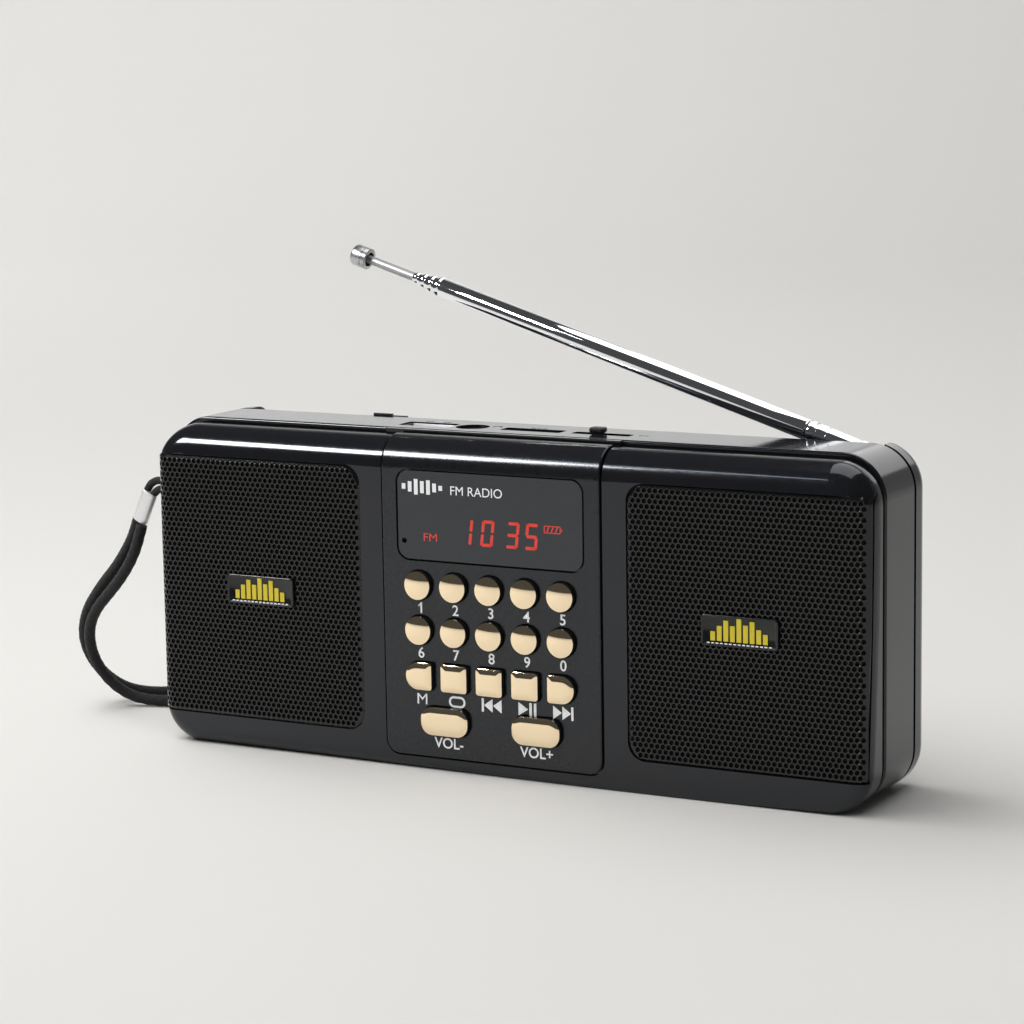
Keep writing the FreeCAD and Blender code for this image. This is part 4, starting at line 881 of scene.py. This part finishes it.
def segment_shapes(digit, x, z):
    """The lit segments of one slanted digit."""
    inset = DIGIT_STROKE / 2
    side, top = DIGIT_WIDE / 2 - inset, DIGIT_TALL / 2 - inset
    level = {"a": top, "g": 0.0, "d": -top}
    quarter = DIGIT_TALL / 4
    upright = {"b": (side, quarter), "c": (side, -quarter), "e": (-side, -quarter)}
    upright["f"] = (-side, quarter)
    shapes = []
    for name in SEGMENTS[digit]:
        if name in level:
            corners = pointed_bar(side - SEGMENT_GAP)
            corners = [(p, q + level[name]) for p, q in corners]
        else:
            across, middle = upright[name]
            corners = pointed_bar(quarter - SEGMENT_GAP - DIGIT_STROKE * 0.35)
            corners = [(across - q, middle + p) for p, q in corners]
        shapes.append([(x + p + q * DIGIT_SLANT, z + q) for p, q in corners])
    return shapes


def light_display():
    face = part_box("display_window")[0].y / MM
    row = middle_of("display_window").z - 3.4
    digits = []
    for digit, x in (("1", -6.4), ("0", -0.4), ("3", 6.6), ("5", 11.9)):
        digits += segment_shapes(digit, x, row)
    flat_shapes("display_digits", digits, face, "led")
    cell_x, cell_z = 17.6, row + 2.1
    cell = outline_loop(cell_x, cell_z, 2.3, 0.95, 0.3, 0.24)
    cell.append(bar(cell_x + 2.55, cell_z, 0.3, 0.8))
    for offset in (-1.2, 0.0, 1.2):
        cell.append(
            [
                (cell_x + offset - 0.42, cell_z - 0.6),
                (cell_x + offset - 0.08, cell_z - 0.6),
                (cell_x + offset + 0.42, cell_z + 0.6),
                (cell_x + offset + 0.08, cell_z + 0.6),
            ]
        )
    flat_shapes("display_battery", cell, face, "led")
    band = lettering("display_band", "FM", 2.1, -16.6, row - 2.0, face, width=1.2)
    band.data.materials[0] = FINISH["led"]
    mark = []
    for number, tall in enumerate((1.4, 2.6, 3.9, 3.0, 3.6, 2.2, 1.2)):
        mark.append(bar(-24.0 + number * 1.75, 72.0, 1.05, tall))
    flat_shapes("panel_emblem", mark, face, "ink_painted_glow")
    lettering("panel_title", "FM RADIO", 2.35, -3.4, 71.6, face)


# ---- strap -----------------------------------------------

STRAP_ROUTE = [
    (-114.4, -4.6, 53.95),
    (-115.3, -4.6, 51.2),
    (-117.0, -4.3, 47.0),
    (-119.9, -3.8, 42.4),
    (-123.6, -3.1, 38.0),
    (-128.2, -2.2, 33.6),
    (-133.2, -1.0, 29.0),
    (-136.9, 0.7, 23.6),
    (-138.3, 2.7, 17.6),
    (-137.7, 5.0, 11.8),
    (-134.8, 7.7, 6.4),
    (-130.8, 10.4, 2.9),
    (-126.0, 12.4, 1.65),
    (-120.4, 14.0, 1.65),
    (-114.6, 17.0, 1.65),
    (-109.0, 21.0, 1.65),
    (-101.8, 24.6, 1.65),
    (-92.8, 26.6, 1.65),
    (-82.8, 27.2, 1.65),
    (-73.2, 27.8, 1.65),
    (-64.4, 30.2, 1.65),
    (-59.6, 36.4, 1.65),
    (-61.2, 44.6, 1.65),
    (-68.6, 49.4, 1.65),
    (-77.4, 47.8, 1.65),
    (-86.0, 42.6, 1.65),
    (-95.2, 37.6, 1.65),
    (-105.6, 33.6, 1.65),
    (-115.6, 29.6, 1.65),
    (-124.0, 25.4, 1.65),
    (-130.6, 20.6, 1.75),
    (-135.4, 16.2, 3.2),
    (-138.8, 12.2, 6.6),
    (-141.2, 8.6, 11.4),
    (-142.2, 5.8, 17.2),
    (-141.0, 3.6, 22.6),
    (-137.9, 1.8, 28.4),
    (-133.4, 0.4, 33.6),
    (-129.6, -0.4, 37.6),
    (-125.7, -1.0, 41.4),
    (-121.7, -1.6, 46.4),
    (-118.5, -2.2, 51.3),
    (-116.6, -2.85, 55.6),
]
TETHER_ROUTE = [
    (-112.3, -4.85, 63.05),
    (-111.4, -4.95, 64.8),
    (-110.0, -5.0, 65.95),
    (-108.3, -5.0, 66.6),
    (-105.2, -5.0, 66.6),
    (-102.0, -5.0, 66.45),
    (-99.4, -5.0, 66.3),
    (-97.5, -5.0, 66.3),
    (-96.4, -5.0, 65.2),
    (-96.4, -5.0, 63.6),
    (-97.5, -5.0, 62.5),
    (-99.4, -5.0, 62.6),
    (-102.0, -5.0, 63.1),
    (-104.4, -5.0, 64.3),
    (-107.05, -5.0, 64.45),
    (-108.75, -5.0, 63.8),
    (-110.1, -4.95, 62.6),
    (-110.6, -4.85, 61.65),
]
FERRULE_TOP = Vector((-110.9, -5.0, 63.4))
FERRULE_END = Vector((-115.4, -3.7, 55.2))
BRAID_CARRIERS = 5
BRAID_PITCH = 3.2


def spline_points(name, route, resolution):
    """Points read from the smooth line that has the route as its control points."""
    curve = bpy.data.curves.new(name, "CURVE")
    curve.dimensions = "3D"
    spline = curve.splines.new("NURBS")
    spline.points.add(len(route) - 1)
    for control, place in zip(spline.points, route):
        control.co = (*(Vector(place) * MM), 1.0)
    spline.order_u = 3
    spline.use_endpoint_u = True
    curve.resolution_u = resolution
    holder = bpy.data.objects.new(name, curve)
    mesh = bpy.data.meshes.new_from_object(holder)
    bpy.data.objects.remove(holder)
    return [vert.co.copy() for vert in mesh.vertices]


def braided_tube(name, path, diameter, around=20):
    """A round cord whose surface rises and falls where its yarns cross."""
    radius = diameter / 2 * MM
    heading = (path[1] - path[0]).normalized()
    side = heading.orthogonal().normalized()
    rings = []
    travelled = 0.0
    for number, place in enumerate(path):
        before = path[max(number - 1, 0)]
        after = path[min(number + 1, len(path) - 1)]
        new_heading = (after - before).normalized()
        side = heading.rotation_difference(new_heading) @ side
        heading = new_heading
        across = heading.cross(side)
        travelled += (place - before).length / MM
        ring = []
        for step in range(around):
            angle = 2 * math.pi * step / around
            climb = 2 * math.pi * travelled / BRAID_PITCH
            left = math.sin(BRAID_CARRIERS * angle + climb)
            right = math.sin(BRAID_CARRIERS * angle - climb)
            lift = 0.95 + 0.06 * max(left, right)
            reach = side * math.cos(angle) + across * math.sin(angle)
            ring.append(place + reach * radius * lift)
        rings.append(ring)
    return piece(name, joined(rings), loft(rings), ["cord"], "radio")


def make_strap():
    loop_path = spline_points("loop_line", STRAP_ROUTE, 20)
    loop = braided_tube("strap_cord", loop_path, 3.1)
    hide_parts("strap_loop")
    tether_path = spline_points("tether_line", TETHER_ROUTE, 12)
    tether = braided_tube("strap_tether_cord", tether_path, 2.1, around=16)
    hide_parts("strap_tether")
    ferrule = make_ferrule()


def make_ferrule():
    """A flattened metal sleeve with eased ends."""
    heading = (FERRULE_END - FERRULE_TOP).normalized()
    length = (FERRULE_END - FERRULE_TOP).length
    short_side = (Vector((0, 1, 0)) - heading * heading.y).normalized()
    long_side = short_side.cross(heading)
    steps = [
        (0.0, 0.7),
        (0.0, 0.92),
        (0.1, 0.98),
        (0.3, 1.0),
        (length * 0.5, 0.985),
        (length - 0.3, 1.0),
        (length - 0.1, 0.98),
        (length, 0.92),
        (length, 0.7),
    ]
    rings = []
    for along, size in steps:
        outline = rounded_outline(2.3 * size, 1.5 * size, 1.5 * size, steps=10)
        rings.append(
            [
                (FERRULE_TOP + heading * along + long_side * p + short_side * q) * MM
                for p, q in outline
            ]
        )
    made = piece("strap_ferrule_sleeve", joined(rings), loft(rings), ["ferrule"], "radio")
    soften(made, 60)
    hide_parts("strap_ferrule")
    return made


# ---- antenna ---------------------------------------------


def antenna_line():
    """The hinge pin's middle, and the way the antenna leans from it."""
    pin = middle_of("antenna_pin")
    return pin, (middle_of("antenna_tip") - pin).normalized()


def antenna_span(node):
    """Where a round antenna part starts and ends along the antenna, and its radius."""
    pin, axis = antenna_line()
    size = half_size(node)
    radius = size.y
    half = (size.x - radius * abs(axis.z)) / abs(axis.x)
    centre = (middle_of(node) - pin).dot(axis)
    return centre - half, centre + half, radius


def turned_part(name, node, profile, finishes, body, capped=True):
    """A part turned on the antenna's axis, which takes the place of its CAD node."""
    pin, axis = antenna_line()
    rings = lathe_rings(profile, pin, axis, Vector((0, 1, 0)), 48)
    faces = loft(rings, cap_first=capped, cap_last=capped)
    made = piece(name, joined(rings), faces, finishes, body)
    soften(made)
    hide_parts(node)


def make_tube(number, body):
    """One section: a tube whose mouth has a rolled bead and closes in on the next one."""
    node = f"antenna_tube_{number}"
    start, end, radius = antenna_span(node)
    bore = radius - 0.32
    profile = [
        (start, bore),
        (start, radius - 0.08),
        (start + 0.1, radius),
        (end - 1.75, radius),
        (end - 1.6, radius - 0.12),
        (end - 1.45, radius - 0.12),
        (end - 1.3, radius),
        (end - 0.95, radius),
        (end - 0.6, radius - 0.05),
        (end - 0.3, radius - 0.15),
        (end - 0.1, radius - 0.27),
        (end, radius - 0.32),
        (start, bore),
    ]
    turned_part(node + "_section", node, profile, ["antenna_chrome"], body, capped=False)


def make_rod():
    start, end, radius = antenna_span("antenna_rod")
    radius += 0.14
    profile = [
        (start, radius - 0.1),
        (start + 0.2, radius),
        (end - 3.4, radius),
        (end - 3.2, radius - 0.06),
        (end - 3.0, radius),
        (end, radius),
    ]
    turned_part("antenna_rod_bar", "antenna_rod", profile, ["matte_steel"], "antenna_section_5")


def make_tip():
    """A cup with a turned rim, open towards the antenna's base."""
    start, end, radius = antenna_span("antenna_tip")
    floor = end - 1.9
    profile = [
        (floor, 0.9),
        (floor, 1.85),
        (start + 0.1, 1.9),
        (start, 2.0),
        (start, radius - 0.2),
        (start + 0.15, radius),
        (start + 1.15, radius),
        (start + 1.25, radius - 0.13),
        (start + 1.5, radius - 0.13),
        (start + 1.6, radius),
        (end - 0.75, radius),
        (end - 0.45, radius - 0.12),
        (end - 0.15, radius - 0.4),
        (end, radius - 0.8),
    ]
    turned_part("antenna_tip_cup", "antenna_tip", profile, ["brushed"], "antenna_section_5")


def make_knuckle():
    """The hinged foot: a flat tang between the fork's cheeks, and a round collar."""
    pin, axis = antenna_line()
    turned = [
        (3.4, 0.4),
        (3.4, 2.1),
        (3.6, 2.4),
        (9.0, 2.6),
        (13.2, 2.66, 0.42),
        (13.3, 2.5, 0.42),
        (13.5, 2.5, 0.42),
        (13.6, 2.66, 0.42),
        (15.6, 2.7),
        (15.8, 2.45),
        (16.1, 2.4),
        (16.35, 2.45),
        (16.5, 2.72),
        (17.6, 2.72),
        (17.8, 2.5),
        (18.1, 2.42),
        (18.4, 2.5),
        (18.6, 2.74),
        (18.85, 2.74),
        (18.9, 2.3),
        (21.1, 2.3),
    ]
    rings = lathe_rings(turned, pin, axis, Vector((0, 1, 0)), 48)
    verts, faces = joined(rings), loft(rings)
    up = axis.cross(Vector((0, 1, 0)))
    tang = 2.4
    turns = [math.pi * step / 16 for step in range(8, 25)]
    nose = [(tang * math.cos(angle), tang * math.sin(angle)) for angle in turns]
    outline = nose + [(4.5, -tang), (4.5, tang)]
    sides = []
    for aside in (1.1, -1.1):
        sides.append([(pin + axis * p + up * q + Vector((0, aside, 0))) * MM for p, q in outline])
    faces += loft(sides, first=len(verts))
    verts += joined(sides)
    made = piece(
        "antenna_knuckle_foot", verts, faces, ["antenna_chrome"], "antenna_mast"
    )
    soften(made)
    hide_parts("antenna_knuckle")


def make_antenna():
    make_knuckle()
    for number, body in enumerate(
        ("antenna_mast", "antenna_section_2", "antenna_section_3", "antenna_section_4"), 1
    ):
        make_tube(number, body)
    make_rod()
    make_tip()


# ---- top edge --------------------------------------------


def upright_rings(centre, layers):
    """Rounded outlines seen from above: each layer is (half width, half depth, radius, z)."""
    rings = []
    for half_width, half_depth, radius, z in layers:
        outline = rounded_outline(half_width, half_depth, radius, steps=4)
        rings.append([Vector((centre.x + p, centre.y + q, z)) * MM for p, q in outline])
    return rings


def make_switch_knob():
    """A slide knob with ribs across it, on a plain stem."""
    centre, half = middle_of("switch_knob"), half_size("switch_knob")
    half_width = half.x
    half_depth = half.y
    top = centre.z + half.z
    half_height = (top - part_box("middle_band")[1].z / MM - 0.3) / 2
    rib_pitch = 0.62
    count = 60
    rings = []
    for step in range(count + 1):
        x = half_width * (2 * step / count - 1)
        inset = 0.11 * (0.5 - 0.5 * math.cos(2 * math.pi * x / rib_pitch))
        inset += 0.45 * max(0.0, abs(x) / half_width - 0.88) / 0.12
        outline = rounded_outline(half_depth - inset, half_height - inset * 0.6, 0.5, steps=5)
        rings.append(
            [Vector((centre.x + x, centre.y + p, top - half_height + q)) * MM for p, q in outline]
        )
    verts, faces = joined(rings), loft(rings)
    foot = centre.z - half.z
    stem = upright_rings(centre, [(1.4, 1.1, 0.3, z) for z in (foot, top - half_height)])
    faces += loft(stem, first=len(verts))
    verts += joined(stem)
    made = piece(
        "switch_knob_cap", verts, faces, ["black_plastic"], "switch_knob"
    )
    soften(made, 50)
    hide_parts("switch_knob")


def make_usb_socket():
    """A folded metal shell round a tongue with four contacts."""
    centre, half = middle_of("usb_socket"), half_size("usb_socket")
    wide, deep = half.x, half.y
    top = centre.z + half.z + 0.7
    foot = centre.z - half.z
    layers = [
        (wide, deep, 0.7, foot),
        (wide, deep, 0.7, top - 0.1),
        (wide - 0.08, deep - 0.08, 0.62, top),
        (wide - 0.22, deep - 0.22, 0.5, top),
        (wide - 0.32, deep - 0.32, 0.4, top - 0.12),
        (wide - 0.32, deep - 0.32, 0.4, foot + 2.5),
    ]
    rings = upright_rings(centre, layers)
    shell = piece(
        "usb_socket_shell", joined(rings), loft(rings), ["socket_metal"], "radio"
    )
    soften(shell)
    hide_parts("usb_socket")
    seat = centre + Vector((0, deep - 2.0, 0))
    layers = [
        (wide - 1.2, 0.85, 0.2, foot + 2.4),
        (wide - 1.2, 0.85, 0.2, top - 2.3),
        (wide - 1.4, 0.6, 0.2, top - 2.0),
    ]
    tongue = upright_rings(seat, layers)
    made = piece(
        "usb_tongue", joined(tongue), loft(tongue), ["black_plastic"], "radio"
    )
    soften(made)
    verts, faces = [], []
    for number in range(4):
        place = seat + Vector((2.3 * (number - 1.5), -0.87, 0))
        strip = upright_rings(
            place, [(0.5, 0.06, 0.03, foot + 3.0), (0.5, 0.06, 0.03, top - 3.0)]
        )
        faces += loft(strip, first=len(verts))
        verts += joined(strip)
    piece("usb_contacts", verts, faces, ["contact"], "radio")


def on_top(outline, x, y, turn=0.0):
    """An outline laid on the top face, turned by an angle in radians."""
    cosine, sine = math.cos(turn), math.sin(turn)
    return [(x + p * cosine - q * sine, y + p * sine + q * cosine) for p, q in outline]


def oblong(wide, deep):
    return [(-wide, -deep), (wide, -deep), (wide, deep), (-wide, deep)]


def print_top_marks():
    """Small dark marks beside each socket: plug, headphones, card and switch."""
    y = middle_of("usb_socket").y
    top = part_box("middle_band")[1].z / MM
    marks = []
    usb_x = middle_of("usb_socket").x
    for x in (-3.1, -1.9, 1.9, 3.1):
        marks.append(on_top(oblong(0.45, 0.28), usb_x + x, y + 4.9, 0.4))
    jack_x = middle_of("aux_jack").x + 6.0
    for step in range(8):
        angle = math.pi * (step + 0.5) / 8
        place = jack_x + 1.0 * math.cos(angle), y + 2.4 + 1.0 * math.sin(angle)
        marks.append(on_top(oblong(0.24, 0.13), *place, angle + math.pi / 2))
    for side in (-1, 1):
        marks.append(on_top(oblong(0.24, 0.5), jack_x + side, y + 2.1))
    card_x = middle_of("card_slot").x
    for x in (-1.6, 0.0, 1.6):
        marks.append(on_top(oblong(0.55, 0.28), card_x + x, y + 3.3, 0.2))
    switch_x = middle_of("switch_body").x + 10.2
    marks.append(on_top(oblong(0.6, 0.18), switch_x, y + 0.8, 0.5))
    marks.append(on_top(oblong(0.18, 0.6), switch_x + 1.5, y + 0.8, -0.3))
    verts, faces = [], []
    for outline in marks:
        first = len(verts)
        low = [Vector((p, q, top)) * MM for p, q in outline]
        high = [Vector((p, q, top + PRINT_DEPTH)) * MM for p, q in outline]
        verts += low + high
        faces += loft([low, high], first=first, cap_first=False)
    piece("top_marks", verts, faces, ["dark_ink"], "radio", smooth=False)


# ---- stage, lights and camera ----------------------------


def make_stage():
    """A pale sweep: floor, curve and wall in one sheet."""
    front, back, wide, curve, tall = -4.0, 1.5, 4.0, 1.2, 3.0
    line = [(front, 0.0), (back, 0.0)]
    for step in range(1, 25):
        angle = math.pi / 2 * step / 24
        line.append((back + curve * math.sin(angle), curve - curve * math.cos(angle)))
    line.append((back + curve, tall))
    verts = []
    for y, z in line:
        verts += [(-wide, y, z), (wide, y, z)]
    faces = [(2 * n, 2 * n + 1, 2 * n + 3, 2 * n + 2) for n in range(len(line) - 1)]
    mesh = bpy.data.meshes.new("sweep")
    mesh.from_pydata(verts, [], faces)
    mesh.polygons.foreach_set("use_smooth", [True] * len(faces))
    paper = finish(
        "pale_paper",
        (0.80, 0.79, 0.765),
        0.75,
        tint=(0.81, 0.80, 0.775),
        grain=6,
        depth=0.0,
        Specular_IOR_Level=0.2,
    )
    mesh.materials.append(paper)
    sweep = bpy.data.objects.new("sweep", mesh)
    SCENE.collection.objects.link(sweep)


def softbox(name, place, target, size, power, colour, role):
    """A flat panel light aimed at a point. Its role is shine, for gloss only, or fill."""
    data = bpy.data.lights.new(name, "AREA")
    data.shape = "RECTANGLE"
    data.size, data.size_y = size
    data.energy = power
    data.color = colour
    lamp = bpy.data.objects.new(name, data)
    SCENE.collection.objects.link(lamp)
    lamp.location = place
    lamp.rotation_euler = (Vector(target) - Vector(place)).to_track_quat("-Z", "Y").to_euler()
    lamp.visible_camera = False
    lamp.visible_glossy = role == "shine"
    lamp.visible_diffuse = role == "fill"


MIDDLE = (0.0, 0.0, 0.05)
WHITE = (1.0, 1.0, 1.0)
COOL = (0.92, 0.96, 1.0)
BLUE = (0.75, 0.86, 1.0)
WARM = (1.0, 0.985, 0.95)
LIGHTS = (
    ("key_panel", (-1.0, -0.88, 1.08), MIDDLE, (0.68, 0.3), 27.0, WHITE, "shine"),
    ("strip_panel", (-0.62, -0.86, 1.12), MIDDLE, (0.34, 0.05), 0.6, BLUE, "shine"),
    ("overhead_panel", (0.13, 0.35, 1.2), (0.13, 0.35, 0.0), (0.93, 1.3), 8.5, WHITE, "shine"),
    ("back_panel", (0.18, 1.3, 0.82), (0.18, 0.0, 0.82), (1.03, 0.75), 3.0, WHITE, "shine"),
    ("top_face_panel", (-0.87, 1.35, 0.42), (-0.87, 0.0, 0.42), (1.05, 0.36), 0.4, COOL, "shine"),
    ("floor_light", (-1.9, 0.7, 2.0), (-0.8, 0.9, 0.0), (2.6, 2.6), 42.0, WHITE, "fill"),
    ("front_light", (-0.3, -0.9, 1.9), (-0.2, -0.1, 0.0), (3.0, 2.2), 28.0, WHITE, "fill"),
    ("near_light", (-0.25, -0.12, 0.5), (-0.12, -0.04, 0.0), (0.5, 0.3), 0.75, WARM, "fill"),
    ("wall_light", (-2.6, 1.0, 2.0), (-1.7, 2.3, 0.2), (2.0, 0.8), 10.0, WHITE, "fill"),
)


def make_lights():
    for light in LIGHTS:
        softbox(*light)
    world = bpy.data.worlds.new("studio")
    world.use_nodes = True
    background = world.node_tree.nodes["Background"]
    background.inputs["Color"].default_value = (0.96, 0.98, 1.0, 1.0)
    background.inputs["Strength"].default_value = 0.065
    SCENE.world = world


def make_camera():
    data = bpy.data.cameras.new("camera")
    data.lens = CAMERA_LENS
    data.sensor_width = 36.0
    camera = bpy.data.objects.new("camera", data)
    SCENE.collection.objects.link(camera)
    forward = Vector(
        (
            -math.sin(CAMERA_YAW) * math.cos(CAMERA_PITCH),
            math.cos(CAMERA_YAW) * math.cos(CAMERA_PITCH),
            -math.sin(CAMERA_PITCH),
        )
    )
    level = Vector((math.cos(CAMERA_YAW), math.sin(CAMERA_YAW), 0.0))
    upright = level.cross(forward)
    right = level * math.cos(CAMERA_ROLL) + upright * math.sin(CAMERA_ROLL)
    up = upright * math.cos(CAMERA_ROLL) - level * math.sin(CAMERA_ROLL)
    turn = Matrix((right, up, -forward)).transposed().to_4x4()
    camera.matrix_world = Matrix.Translation(CAMERA_PLACE) @ turn
    SCENE.camera = camera


SCENE.view_settings.view_transform = "Standard"
make_camera()
make_stage()
make_lights()
make_strap()
dress_cad_nodes()
for side in ("left", "right"):
    make_grille(side)
    make_badge(side)
make_keys()
print_key_marks()
light_display()
make_antenna()
make_switch_knob()
make_usb_socket()
print_top_marks()
